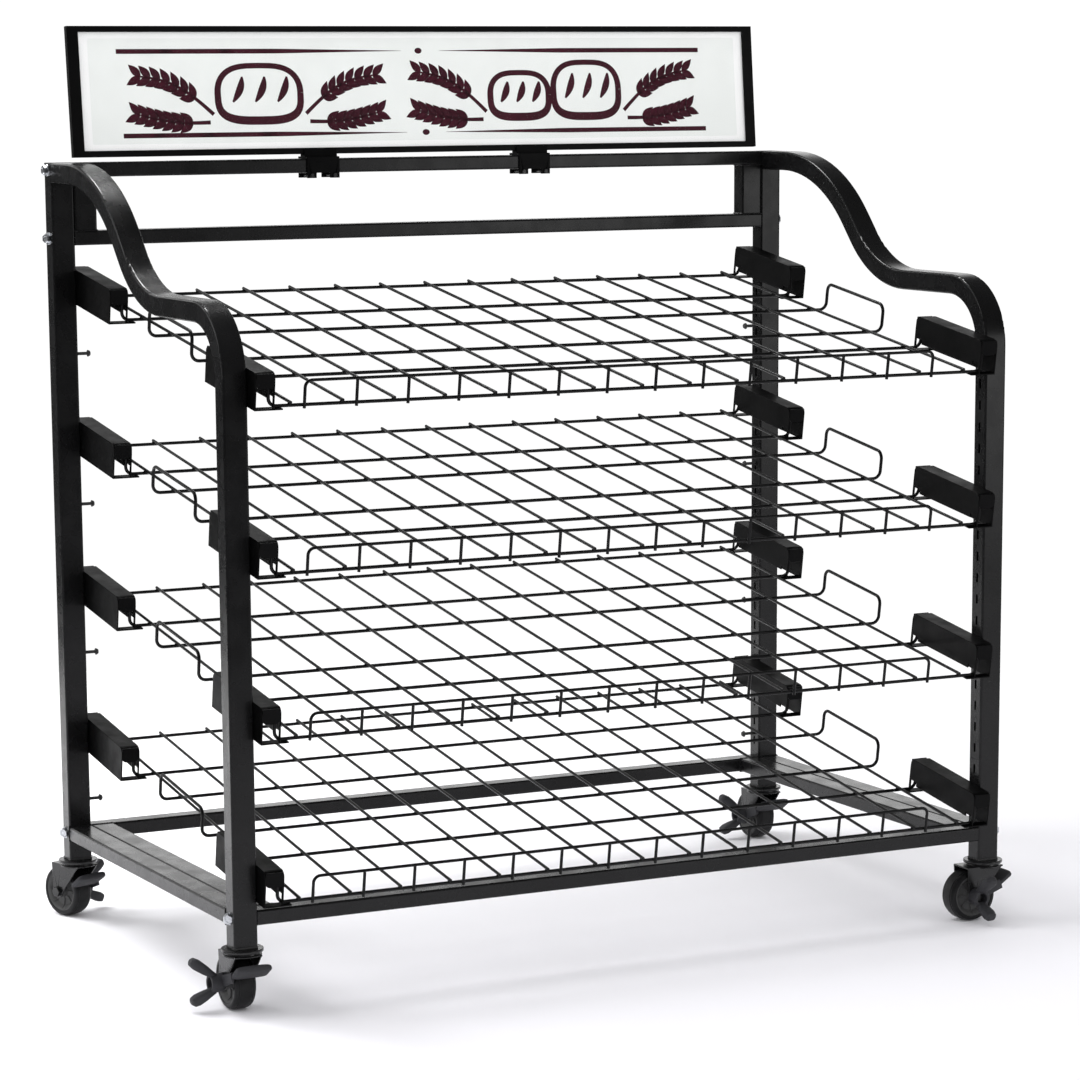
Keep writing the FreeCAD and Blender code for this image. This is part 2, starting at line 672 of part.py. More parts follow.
def frame_bolt(tag, sign, y, level):
    """A bolt through a post with its washer, and the threaded block that it draws on."""
    outward, inward = (TO_X, TO_MINUS_X) if sign > 0 else (TO_MINUS_X, TO_X)
    outside = f"{sign} * {{rack_width}} / 2"
    face = f"{sign} * ({{rack_width}} / 2 + {{washer_thick}})"
    inside = f"{sign} * {INNER_X}"
    head = hexagon(f"bolt_head_{tag}", "{bolt_head_width}", "{bolt_head_height}",
                   face, y, level, outward)
    shank = rod(f"bolt_shank_{tag}", "{bolt_size} / 2",
                "{washer_thick} + {post_width} + {nut_length}", face, y, level, inward)
    disc = rod(f"washer_disc_{tag}", "{washer_size} / 2", "{washer_thick}",
               outside, y, level, outward)
    hole = rod(f"washer_hole_{tag}", "{bolt_size} / 2 + {fit_clearance}", "{washer_thick}",
               outside, y, level, outward)
    wall = "({tube_wall} + {fit_clearance})"
    body = box(f"nut_body_{tag}", "{nut_length}", f"{{post_depth}} - 2 * {wall}",
               f"{{rail_height}} - 2 * {wall}",
               f"{INNER_X} - {{nut_length}}" if sign > 0 else f"-{INNER_X}",
               f"{y} - {{post_depth}} / 2 + {wall}", f"{level} - {{rail_height}} / 2 + {wall}")
    doc.recompute()
    chamfer = size("tube_corner") - size("tube_wall")
    eased = doc.addObject("Part::Chamfer", f"nut_eased_{tag}")
    eased.Base = body
    eased.Edges = [(number, chamfer, chamfer) for number, edge in enumerate(body.Shape.Edges, 1)
                   if abs(edge.tangentAt(edge.FirstParameter).x) > 0.5]
    thread = rod(f"nut_thread_{tag}", "{bolt_size} / 2", "{nut_length}", inside, y, level, inward)
    return (fuse(f"bolt_{tag}", [head, shank]), cut(f"washer_{tag}", disc, hole),
            cut(f"nut_{tag}", eased, thread))


bolts = []
for side, sign in SIDES:
    for number, (end, level) in enumerate(((1, TOP_RAIL), (1, LOWER_RAIL), (1, BASE_RAIL),
                                           (-1, BASE_RAIL)), start=1):
        bolts.append(frame_bolt(f"{side}_{number}", sign, f"{end} * {POST_Y}", level))
for label, pieces in zip(("frame_bolts", "frame_washers", "rail_end_nuts"), zip(*bolts)):
    node(group(label, list(pieces)), label)


def post_cap(side, sign):
    """The plastic cap on a rear post: a lid with a shallow plug inside the tube."""
    x = f"{sign} * {POST_X} - {{post_width}} / 2"
    y = f"{POST_Y} - {{post_depth}} / 2"
    lid = box(f"cap_lid_{side}", "{post_width}", "{post_depth}", "{cap_thick}",
              x, y, "{frame_top} - {cap_thick}")
    inset = "({tube_corner} + {fit_clearance})"
    plug = box(f"cap_plug_{side}", f"{{post_width}} - 2 * {inset}", f"{{post_depth}} - 2 * {inset}",
               "{cap_plug}", f"{x} + {inset}", f"{y} + {inset}",
               "{frame_top} - {cap_thick} - {cap_plug}")
    return fuse(f"cap_{side}", [lid, plug])


def peg(side, sign, index):
    """A hanging peg on a rear post's inner face: a rod with a tapered head."""
    level = f"{{shelf_level}} - {index} * {{shelf_pitch}} - {{peg_drop}}"
    inward = TO_MINUS_X if sign > 0 else TO_X
    stalk = rod(f"peg_rod_{side}_{index + 1}", "{peg_rod} / 2", "{peg_reach}",
                f"{sign} * {INNER_X}", POST_Y, level, inward)
    head = doc.addObject("Part::Cone", f"peg_head_{side}_{index + 1}")
    bind(head, "Radius1", "{peg_head} / 2")
    bind(head, "Radius2", "{peg_head} / 3")
    bind(head, "Height", "{peg_head_thick}")
    place(head, f"{sign} * ({INNER_X} - {{peg_reach}})", POST_Y, level, inward)
    return fuse(f"peg_{side}_{index + 1}", [stalk, head])


node(group("post_caps", [post_cap(side, sign) for side, sign in SIDES]), "post_caps")
node(group("hanging_pegs", [peg(side, sign, index) for side, sign in SIDES
                            for index in range(count("shelf_count"))]), "hanging_pegs")


# ---------------------------------------------------------------- sign

SIGN_FRAME = Placement(Vector(0, post_y, size("frame_top") + size("clip_seat")),
                       Rotation(X_AXIS, -size("sign_lean_angle")))
SIGN_WIDTH = f"(2 * ({INNER_X} - {{sign_gap}}))"
FRONT = "(-{sign_depth} / 2)"


def sign_box(name, side, end, front, thick):
    """A block of the sign in the sign's own frame, inset at its sides and at its ends."""
    return box(name, f"{SIGN_WIDTH} - 2 * ({side})", thick, f"{{sign_height}} - 2 * ({end})",
               f"-{SIGN_WIDTH} / 2 + {side}", f"{FRONT} + {front}", end)


def sign_layer(label, front, thick):
    """A sheet that fills the recess behind the sign's bars."""
    inset = "{sign_rebate} - {fit_clearance}"
    sheet_box = sign_box(f"{label}_box", f"{{sign_side_bar}} - ({inset})",
                         f"{{sign_end_bar}} - ({inset})", front, thick)
    layer = group(label, [sheet_box])
    layer.Placement = SIGN_FRAME
    return node(layer, label)


bars = sign_box("sign_bars", "0", "0", "0", "{sign_depth}")
window = sign_box("sign_window", "{sign_side_bar}", "{sign_end_bar}", "0", "{sign_depth}")
recess = sign_box("sign_recess", "{sign_side_bar} - {sign_rebate}",
                  "{sign_end_bar} - {sign_rebate}", "{sign_lip}", "{sign_depth} - {sign_lip}")
sign_frame = cut("sign_frame", cut("sign_opened", bars, window), recess)
sign_frame.Placement = SIGN_FRAME
node(sign_frame, "sign_frame")
PRINT_FRONT = "({sign_lip} + {cover_thick})"
BACK_FRONT = f"({PRINT_FRONT} + {{print_thick}})"
sign_layer("sign_cover", "{sign_lip}", "{cover_thick}")
sign_layer("sign_panel", PRINT_FRONT, "{print_thick}")
sign_layer("sign_back", BACK_FRONT, f"{{sign_depth}} - {BACK_FRONT}")


def sign_clip(tag, sign):
    """A saddle clip on the top rail that holds the sign's lower edge, and its two clamp screws."""
    wide = "{clip_width}"
    wall = "{clip_wall}"
    left = f"{sign} * {{clip_{tag}}} - {wide} / 2"
    rail_front = "({rack_depth} / 2 - {post_depth})"
    low = "({frame_top} - {rail_height} - {clip_foot})"
    cheek = f"{{frame_top}} + {wall} - {low}"
    web = box(f"clip_web_{tag}", wide, f"{{post_depth}} + 2 * {wall}", wall,
              left, f"{rail_front} - {wall}", "{frame_top}")
    front = box(f"clip_front_{tag}", wide, wall, cheek, left, f"{rail_front} - {wall}", low)
    back = box(f"clip_back_{tag}", wide, wall, cheek, left, "{rack_depth} / 2", low)
    seat = box(f"clip_seat_{tag}", wide, f"{{sign_depth}} + 2 * {wall} + 2 * {{fit_clearance}}",
               "{clip_seat} - {clip_wall} / 2", f"-{wide} / 2",
               f"{FRONT} - {wall} - {{fit_clearance}}", "{clip_wall} / 2 - {clip_seat}")
    lips = [box(f"clip_{name}_lip_{tag}", wide, wall, "{clip_lip}", f"-{wide} / 2", y)
            for name, y in (("front", f"{FRONT} - {wall} - {{fit_clearance}}"),
                            ("rear", "{sign_depth} / 2 + {fit_clearance}"))]
    holder = fuse(f"clip_holder_{tag}", [seat] + lips)
    across = Vector(sign * size(f"clip_{tag}"), 0, 0)
    holder.Placement = Placement(across, Rotation()).multiply(SIGN_FRAME)
    gap = box(f"clip_gap_{tag}", f"{wide} - 2 * {{clip_leg}}", f"{{post_depth}} + 2 * {wall}",
              "{clip_foot}", f"{left} + {{clip_leg}}", f"{rail_front} - {wall}", low)
    holes = []
    screws = []
    for number, x in enumerate((f"{left} + {{clip_leg}} / 2",
                                f"{left} + {wide} - {{clip_leg}} / 2"), start=1):
        level = "({frame_top} - {rail_height} - {clip_foot} / 2)"
        near = f"{rail_front} - {wall}"
        through = f"{{post_depth}} + 2 * {wall}"
        holes.append(rod(f"clip_hole_{tag}_{number}", "{clip_screw} / 2 + {fit_clearance}",
                         through, x, near, level, TO_Y))
        shank = rod(f"clip_screw_{tag}_{number}", "{clip_screw} / 2",
                    f"{through} + 2 * {{clip_screw_head_thick}}",
                    x, f"{near} - {{clip_screw_head_thick}}", level, TO_Y)
        ends = [rod(f"clip_screw_end_{tag}_{number}_{end}", "{clip_screw_head} / 2",
                    "{clip_screw_head_thick}", x, y, level, TO_Y)
                for end, y in enumerate((f"{near} - {{clip_screw_head_thick}}",
                                         f"{{rack_depth}} / 2 + {wall}"))]
        screws.append(fuse(f"clip_screw_solid_{tag}_{number}", [shank] + ends))
    saddle = fuse(f"clip_saddle_{tag}", [web, front, back, holder])
    return cut(f"clip_{tag}", saddle, group(f"clip_cuts_{tag}", [gap] + holes)), screws


left_clip, left_screws = sign_clip("left", -1)
right_clip, right_screws = sign_clip("right", 1)
node(group("sign_clips", [left_clip, right_clip]), "sign_clips")
node(group("clip_screws", left_screws + right_screws), "clip_screws")


# ---------------------------------------------------------------- casters

# Each caster is made in its own frame: the origin on the floor under its swivel axis, the wheel
# trailing towards -X, and the lever on the -Y side.
AXLE_LEVEL = "({wheel_size} / 2)"
CROWN = "({wheel_size} + {crown_clearance})"
PLATE_TOP = f"({CROWN} + {{fork_sheet}})"
DISH_LOW = f"({PLATE_TOP} + {{race_height}} + {{side_clearance}})"
FLANGE_LOW = "({post_foot} - {socket_flange})"
SOCKET_TOP = f"({BASE_RAIL} - {{bolt_size}} / 2 - {{socket_gap}})"
CHEEK_IN = "({boss_width} / 2 + {side_clearance})"
CHEEK_OUT = f"({CHEEK_IN} + {{fork_sheet}})"
LEVER_IN = f"({CHEEK_OUT} + {{side_clearance}})"
LEVER_OUT = f"({LEVER_IN} + {{lever_cheek}})"
HEAD_IN = f"({LEVER_OUT} + {{side_clearance}})"


def fork(tag):
    """A pressed fork: a top plate with the swivel race, and a tapered leg on each side."""
    plate = box(f"fork_plate_{tag}", "{fork_front} + {caster_trail} + {fork_rear}",
                f"2 * {CHEEK_OUT}", "{fork_sheet}", "-{caster_trail} - {fork_rear}",
                f"-{CHEEK_OUT}", CROWN)
    disc = rod(f"fork_disc_{tag}", "{race_size} / 2 + {fork_sheet}", "{fork_sheet}", z=CROWN)
    race = rod(f"fork_race_{tag}", "{race_size} / 2", "{race_height}", z=PLATE_TOP)
    pieces = [plate, disc, race]
    for name, y in (("near", f"-{CHEEK_OUT}"), ("far", CHEEK_IN)):
        leg = doc.addObject("Part::Wedge", f"fork_leg_{name}_{tag}")
        for prop, text in (("Xmin", "-{caster_trail} - {fork_rear}"), ("Xmax", "{fork_front}"),
                           ("Ymin", "0"), ("Ymax", f"{PLATE_TOP} - {AXLE_LEVEL}"),
                           ("Zmin", "0"), ("Zmax", "{fork_sheet}"),
                           ("X2min", "-{caster_trail} - {fork_leg} / 2"),
                           ("X2max", "-{caster_trail} + {fork_leg} / 2"),
                           ("Z2min", "0"), ("Z2max", "{fork_sheet}")):
            bind(leg, prop, text)
        place(leg, "0", y, PLATE_TOP, TO_Y)
        pieces.append(leg)
        pieces.append(rod(f"fork_eye_{name}_{tag}", "{fork_leg} / 2", "{fork_sheet}",
                          "-{caster_trail}", y, AXLE_LEVEL, TO_Y))
    stem_hole = rod(f"fork_stem_hole_{tag}", "{stem_size} / 2 + {running_clearance}",
                    "2 * ({fork_sheet} + {race_height})", z=f"{CROWN} - {{fork_sheet}}")
    axle_hole = rod(f"fork_axle_hole_{tag}", "{axle_size} / 2", f"2 * {CHEEK_OUT}",
                    "-{caster_trail}", f"-{CHEEK_OUT}", AXLE_LEVEL, TO_Y)
    holes = group(f"fork_holes_{tag}", [stem_hole, axle_hole])
    return cut(f"fork_{tag}", fuse(f"fork_blank_{tag}", pieces), holes)


def axle(tag, hand):
    """An axle bolt from the lever's side, and its nut; hand is the lever's."""
    x = "-{caster_trail}"
    turn, outward = (TO_Y, TO_MINUS_Y) if hand > 0 else (TO_MINUS_Y, TO_Y)
    face = f"{-hand} * {HEAD_IN}"
    nut_face = f"{hand} * {CHEEK_OUT}"
    shank = rod(f"axle_shank_{tag}", "{axle_size} / 2",
                f"{HEAD_IN} + {CHEEK_OUT} + {{axle_head_height}}", x, face, AXLE_LEVEL, turn)
    head = rod(f"axle_head_{tag}", "{axle_head} / 2", "{axle_head_height}", x, face,
               AXLE_LEVEL, outward)
    nut = hexagon(f"axle_nut_blank_{tag}", "{axle_head}", "{axle_head_height}", x, nut_face,
                  AXLE_LEVEL, turn)
    thread = rod(f"axle_nut_thread_{tag}", "{axle_size} / 2", "{axle_head_height}", x, nut_face,
                 AXLE_LEVEL, turn)
    return group(f"axle_{tag}", [fuse(f"axle_bolt_{tag}", [shank, head]),
                                 cut(f"axle_nut_{tag}", nut, thread)])


def disc_on_axle(name, diameter, width):
    """A disc about the axle, centred on the wheel."""
    return rod(name, f"({diameter}) / 2", width, "-{caster_trail}", f"-({width}) / 2",
               AXLE_LEVEL, TO_Y)


def wheel(tag):
    """The moulded wheel: rim, web and boss around the axle's bore."""
    outside = "{wheel_size} - 2 * {tyre_thick}"
    rim = cut(f"wheel_rim_{tag}", disc_on_axle(f"wheel_rim_out_{tag}", outside, "{wheel_width}"),
              disc_on_axle(f"wheel_rim_in_{tag}", f"{outside} - 2 * {{rim_thick}}",
                           "{wheel_width}"))
    web = disc_on_axle(f"wheel_web_{tag}", f"{outside} - {{rim_thick}}", "{web_thick}")
    boss = disc_on_axle(f"wheel_boss_{tag}", "{boss_size}", "{boss_width}")
    bore = disc_on_axle(f"wheel_bore_{tag}", "{axle_size} + 2 * {running_clearance}",
                        "{boss_width}")
    return cut(f"wheel_{tag}", fuse(f"wheel_solid_{tag}", [rim, web, boss]), bore)


def tyre(tag):
    """The rubber tyre on its rim, with rounded edges."""
    ring = cut(f"tyre_ring_{tag}",
               disc_on_axle(f"tyre_out_{tag}", "{wheel_size}", "{wheel_width}"),
               disc_on_axle(f"tyre_in_{tag}", "{wheel_size} - 2 * {tyre_thick}", "{wheel_width}"))
    doc.recompute()
    rounded = doc.addObject("Part::Fillet", f"tyre_{tag}")
    rounded.Base = ring
    radius = size("tyre_round")
    rounded.Edges = [(number, radius, radius) for number, edge in enumerate(ring.Shape.Edges, 1)
                     if isinstance(edge.Curve, Part.Circle)
                     and abs(edge.Curve.Radius - size("wheel_size") / 2) < 1e-6]
    return rounded


def lever_bar(name, start, heading, rise, length, width, thick):
    """A flat bar with a round tip from a point, rising by an angle in the plane of its heading.

    start is the middle of its near edge; its width lies across that plane.
    """
    bar = box(f"{name}_bar", length, width, thick, "0", f"-({width}) / 2", f"-({thick}) / 2")
    tip = rod(f"{name}_tip", f"({thick}) / 2", width, length, f"({width}) / 2", "0", TO_MINUS_Y)
    both = fuse(name, [bar, tip])
    both.Placement = Placement(start, heading.multiply(Rotation(Y_AXIS, -rise)))
    return both


def brake_lever(tag, hand):
    """A moulded brake lever: a cheek and an open collar on the axle, a pedal and two side wings.

    hand is 1 for a lever on the -Y side of its caster and -1 for one on the +Y side.
    """
    x = "-{caster_trail}"
    turn = TO_MINUS_Y if hand > 0 else TO_Y
    near = f"{-hand} * {LEVER_IN}"
    far = f"{-hand} * {LEVER_OUT}"
    collar = rod(f"lever_collar_{tag}", "{collar_size} / 2", "{collar_depth}",
                 x, near, AXLE_LEVEL, turn)
    bore = rod(f"lever_bore_{tag}", "{collar_bore} / 2", "{collar_depth}", x, far, AXLE_LEVEL, turn)
    hole = rod(f"lever_hole_{tag}", "{axle_size} / 2 + {running_clearance}", "{collar_depth}",
               x, near, AXLE_LEVEL, turn)
    hub = Vector(-size("caster_trail"), 0, size("wheel_size") / 2)
    inside = size("boss_width") / 2 + size("fork_sheet") + 2 * size("side_clearance")
    forward = Rotation()
    outward = Rotation(Z_AXIS, -90 * hand)
    arm = lever_bar(f"lever_arm_{tag}",
                    hub + Vector(0, -hand * (inside + size("lever_cheek") / 2), 0), forward,
                    size("arm_angle"), "{pedal_start}", "{lever_cheek}", "{arm_width}")
    rise = math.radians(size("arm_angle"))
    reach = size("pedal_start") * Vector(math.cos(rise), 0, math.sin(rise))
    pedal_y = -hand * (inside + size("lever_cheek") - size("pedal_width") / 2)
    pedal = lever_bar(f"lever_pedal_{tag}", hub + reach + Vector(0, pedal_y, 0), forward,
                      size("pedal_angle"), "{pedal_length}", "{pedal_width}", "{pedal_thick}")
    root_y = -hand * (inside + size("collar_depth") - size("wing_inset"))
    wings = [lever_bar(f"lever_{name}_wing_{tag}",
                       hub + Vector(0, root_y, above * size("wing_root")), outward,
                       size(f"{name}_wing_angle"), f"{{{name}_wing_length}}",
                       "{wing_width}", "{wing_thick}")
             for name, above in (("upper", 1), ("lower", -1))]
    return cut(f"lever_{tag}", fuse(f"lever_solid_{tag}", [collar, arm, pedal] + wings),
               group(f"lever_holes_{tag}", [bore, hole]))


# name, side, end, heading of the caster's +X in degrees, and the lever's hand
CASTERS = (
    ("front_left", -1, -1, -90, 1),
    ("front_right", 1, -1, 0, 1),
    ("rear_left", -1, 1, -70, -1),
    ("rear_right", 1, 1, -90, 1),
)

sockets = []
stems = []
for tag, side_sign, end, heading, hand in CASTERS:
    x = f"{side_sign} * {POST_X}"
    y = f"{end} * {POST_Y}"
    turn = Rotation(Z_AXIS, heading)
    node(place(fork(tag), x, y, "0", turn), f"{tag}_fork")
    node(place(axle(tag, hand), x, y, "0", turn), f"{tag}_axle")
    node(place(wheel(tag), x, y, "0", turn), f"{tag}_wheel")
    node(place(tyre(tag), x, y, "0", turn), f"{tag}_tyre")
    node(place(brake_lever(tag, hand), x, y, "0", turn), f"{tag}_brake_lever")

    inset = "({tube_wall} + {fit_clearance})"
    flange = box(f"socket_flange_{tag}", "{post_width}", "{post_depth}", "{socket_flange}",
                 f"{x} - {{post_width}} / 2", f"{y} - {{post_depth}} / 2", FLANGE_LOW)
    plug = box(f"socket_plug_{tag}", f"{{post_width}} - 2 * {inset}",
               f"{{post_depth}} - 2 * {inset}", f"{SOCKET_TOP} - {{post_foot}}",
               f"{x} - {{post_width}} / 2 + {inset}", f"{y} - {{post_depth}} / 2 + {inset}",
               "{post_foot}")
    doc.recompute()
    chamfer = size("tube_corner") - size("tube_wall")
    eased = doc.addObject("Part::Chamfer", f"socket_eased_{tag}")
    eased.Base = plug
    eased.Edges = [(number, chamfer, chamfer) for number, edge in enumerate(plug.Shape.Edges, 1)
                   if abs(edge.tangentAt(edge.FirstParameter).z) > 0.5]
    stem_top = f"({SOCKET_TOP} - {{stem_top_gap}})"
    bore = rod(f"socket_bore_{tag}", "{stem_size} / 2", f"{stem_top} - {FLANGE_LOW}", x, y,
               FLANGE_LOW)
    sockets.append(cut(f"socket_{tag}", fuse(f"socket_solid_{tag}", [flange, eased]), bore))
    head_low = f"({CROWN} - {{side_clearance}} - {{stem_head_height}})"
    stems.append(fuse(f"stem_{tag}", [
        rod(f"stem_rod_{tag}", "{stem_size} / 2", f"{stem_top} - {head_low}", x, y, head_low),
        rod(f"stem_dish_{tag}", "{dish_size} / 2", f"{FLANGE_LOW} - {DISH_LOW}", x, y, DISH_LOW),
        rod(f"stem_head_{tag}", "{stem_head} / 2", "{stem_head_height}", x, y, head_low)]))
node(group("caster_sockets", sockets), "caster_sockets")
node(group("caster_stems", stems), "caster_stems")


# ---------------------------------------------------------------- checks and files

doc.recompute()
faults = [thing.Name for thing in doc.Objects
          if "Invalid" in thing.State or "Error" in thing.State]
if faults:
    raise RuntimeError(f"objects that failed: {faults}")
for thing in NODES:
    shape = thing.Shape
    if shape.isNull() or not shape.isValid() or not shape.Solids:
        raise RuntimeError(f"no valid solid in {thing.Label}")
for side, _ in SIDES:
    for name, slots in ((f"{side}_post", rear_slots), (f"{side}_bend", front_slots)):
        row = doc.getObject(f"{name}_slots")
        removed = row.BaseFeature.Shape.Volume - row.Shape.Volume
        one_slot = size("tube_wall") * size("slot_width") * size("slot_height")
        if abs(removed - (slots - 1) * one_slot) > 0.01 * one_slot:
            raise RuntimeError(f"slots missing from {name}: {removed / one_slot}")

os.makedirs("parts", exist_ok=True)
for thing in NODES:
    thing.Shape.exportStep(f"parts/{thing.Label}.step")
print(len(NODES), "sub-parts,", sum(len(thing.Shape.Solids) for thing in NODES), "solids")
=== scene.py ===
"""Bakery bread rack, dressed: powder-coated tubes, welded wire shelves, a printed sign and casters.

Metres, +Z up, +X to the right, the front towards -Y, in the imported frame's own coordinates.
"""

import logging
import math
from dataclasses import dataclass
from enum import Enum
from typing import Iterable, Optional, Sequence

import bmesh
import bpy
from mathutils import Matrix, Vector


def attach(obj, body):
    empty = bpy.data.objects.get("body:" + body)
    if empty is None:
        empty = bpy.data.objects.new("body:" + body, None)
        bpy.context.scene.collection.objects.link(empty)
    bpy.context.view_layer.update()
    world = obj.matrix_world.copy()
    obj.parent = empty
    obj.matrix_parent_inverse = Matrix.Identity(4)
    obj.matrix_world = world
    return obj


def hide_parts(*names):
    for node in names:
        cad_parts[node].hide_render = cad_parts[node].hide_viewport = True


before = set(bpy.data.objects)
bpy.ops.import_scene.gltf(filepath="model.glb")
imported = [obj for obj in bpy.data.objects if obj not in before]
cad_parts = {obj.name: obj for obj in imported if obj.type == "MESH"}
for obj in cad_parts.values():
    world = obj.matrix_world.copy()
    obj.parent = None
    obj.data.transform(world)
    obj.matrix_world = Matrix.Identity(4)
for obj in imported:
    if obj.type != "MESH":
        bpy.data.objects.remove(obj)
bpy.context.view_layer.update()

log = logging.getLogger("bread_rack")

# The body that doesn't move, and the shelves' levels on it.
RACK = "rack"
SHELVES = 4
TOP_SHELF = 0.960
SHELF_PITCH = 0.230

# How near the axis, or each other, points count as one; eased edges' steps and least angle.
ON_AXIS = 1e-9
SAME_POINT = 1e-7
SAME_CORNER = 1e-5
EASE_STEPS = 2
EASE_ANGLE = 40.0

Point = Sequence[float]
Colour = tuple[float, float, float]
Places = Sequence[tuple[Point, Point]]


# ---------------------------------------------------------------- shaders

def map_range(tree: bpy.types.NodeTree, factor: object, start: float, end: float,
              low: object, high: object) -> object:
    """Spreads a factor over a range of results.

    Args:
        tree: node tree that takes the node.
        factor: socket to read.
        start: factor that gives low.
        end: factor that gives high.
        low: result at the start, a number or a socket.
        high: result at the end, a number or a socket.

    Returns:
        The result's socket.
    """
    spread = tree.nodes.new("ShaderNodeMapRange")
    tree.links.new(factor, spread.inputs["Value"])
    for name, value in (("From Min", start), ("From Max", end), ("To Min", low), ("To Max", high)):
        if isinstance(value, bpy.types.NodeSocket):
            tree.links.new(value, spread.inputs[name])
        else:
            spread.inputs[name].default_value = value
    return spread.outputs["Result"]


class Shader:
    """A procedural material under construction, on object coordinates."""

    def __init__(self, name: str, constants: dict[str, object]) -> None:
        """Starts a material with a principled shader.

        Args:
            name: name of the material.
            constants: values for the shader's own sockets.
        """
        self.material = bpy.data.materials.new(name)
        self.material.use_nodes = True
        self.tree = self.material.node_tree
        self.tree.nodes.clear()
        self.surface = self.tree.nodes.new("ShaderNodeBsdfPrincipled")
        output = self.tree.nodes.new("ShaderNodeOutputMaterial")
        self.tree.links.new(self.surface.outputs["BSDF"], output.inputs["Surface"])
        self.position = self.tree.nodes.new("ShaderNodeTexCoord").outputs["Object"]
        for socket, value in constants.items():
            self.surface.inputs[socket].default_value = value

    def noise(self, size: float, detail: float = 2.0, stretch: Point = (1, 1, 1)) -> object:
        """Noise with features of a size in metres.

        Args:
            size: size of one feature.
            detail: octaves of finer noise.
            stretch: how many times longer the features are along each axis.

        Returns:
            The noise's factor socket.
        """
        mapping = self.tree.nodes.new("ShaderNodeMapping")
        mapping.inputs["Scale"].default_value = [1.0 / (size * long) for long in stretch]
        self.tree.links.new(self.position, mapping.inputs["Vector"])
        noise = self.tree.nodes.new("ShaderNodeTexNoise")
        noise.inputs["Scale"].default_value = 1.0
        noise.inputs["Detail"].default_value = detail
        self.tree.links.new(mapping.outputs["Vector"], noise.inputs["Vector"])
        return noise.outputs["Fac"]

    def grains(self, size: float) -> object:
        """Distance to the nearest of many scattered points, about size apart.

        Args:
            size: metres between neighbouring points.

        Returns:
            The distance socket.
        """
        cells = self.tree.nodes.new("ShaderNodeTexVoronoi")
        cells.inputs["Scale"].default_value = 1.0 / size
        self.tree.links.new(self.position, cells.inputs["Vector"])
        return cells.outputs["Distance"]

    def between(self, factor: object, low: float, high: float,
                start: float = 0.3, end: float = 0.7) -> object:
        """Spreads a factor over a range of numbers.

        Args:
            factor: socket to read.
            low: number at the start of the factor's span.
            high: number at its end.
            start: factor that gives low.
            end: factor that gives high.

        Returns:
            The result's socket.
        """
        return map_range(self.tree, factor, start, end, low, high)

    def tint(self, factor: object, stops: Sequence[tuple[float, Point]]) -> None:
        """Colours the surface by a ramp over a factor.

        Args:
            factor: socket to read.
            stops: positions with their linear colours.
        """
        ramp = self.tree.nodes.new("ShaderNodeValToRGB")
        elements = ramp.color_ramp.elements
        while len(elements) < len(stops):
            elements.new(0.5)
        for element, (position, colour) in zip(elements, stops):
            element.position = position
            element.color = (*colour, 1.0)
        self.tree.links.new(factor, ramp.inputs["Fac"])
        self.tree.links.new(ramp.outputs["Color"], self.surface.inputs["Base Color"])

    def rough(self, factor: object, low: float, high: float) -> None:
        """Varies the roughness between two numbers by a factor."""
        self.tree.links.new(self.between(factor, low, high), self.surface.inputs["Roughness"])

    def relief(self, heights: Sequence[tuple[object, float]]) -> None:
        """Raises the surface by a chain of height factors.

        Args:
            heights: sockets with the height in metres that each stands for.
        """
        normal = None
        for factor, depth in heights:
            bump = self.tree.nodes.new("ShaderNodeBump")
            bump.inputs["Distance"].default_value = depth
            self.tree.links.new(factor, bump.inputs["Height"])
            if normal is not None:
                self.tree.links.new(normal, bump.inputs["Normal"])
            normal = bump.outputs["Normal"]
        self.tree.links.new(normal, self.surface.inputs["Normal"])


@dataclass(frozen=True)
class PowderCoat:
    """Black powder coat: an orange-peel skin with faint scuffs and dust."""

    name: str
    shade: float
    gloss: float
    shine: float
    peel: float
    peel_depth: float
    cloud: float = 0.11
    scuff: float = 0.035
    coat_share: float = 0.23
    coat_gloss: float = 0.12

    def build(self) -> bpy.types.Material:
        """Makes the material.

        Returns:
            The coat's material.
        """
        shader = Shader(self.name, {"Specular IOR Level": self.shine,
                                    "Coat Weight": self.shine * self.coat_share,
                                    "Coat Roughness": self.coat_gloss})
        dark, light = self.shade * 0.75, self.shade * 1.5
        shader.tint(shader.noise(self.cloud, 3.0),
                    [(0.32, (dark, dark, dark * 1.05)), (0.72, (light, light, light * 1.06))])
        shader.rough(shader.noise(self.scuff, 4.0), self.gloss * 0.85, self.gloss * 1.3)
        shader.relief([(shader.noise(self.peel, 1.0), self.peel_depth),
                       (shader.noise(self.peel * 7, 1.0), self.peel_depth * 1.6)])
        return shader.material


@dataclass(frozen=True)
class Plate:
    """Bright zinc plate with a brushed grain."""

    name: str
    colour: Colour
    gloss: float
    patch: float = 0.006
    bloom: float = 0.0016
    brush: float = 0.0004
    brush_length: float = 14
    brush_depth: float = 0.00003

    def build(self) -> bpy.types.Material:
        """Makes the material.

        Returns:
            The plate's material.
        """
        shader = Shader(self.name, {"Metallic": 1.0})
        dull = tuple(0.72 * value for value in self.colour)
        shader.tint(shader.noise(self.patch, 3.0), [(0.3, dull), (0.7, self.colour)])
        shader.rough(shader.noise(self.bloom, 2.0), self.gloss * 0.8, self.gloss * 1.4)
        strokes = shader.noise(self.brush, 1.0, (1, 1, self.brush_length))
        shader.relief([(strokes, self.brush_depth)])
        return shader.material


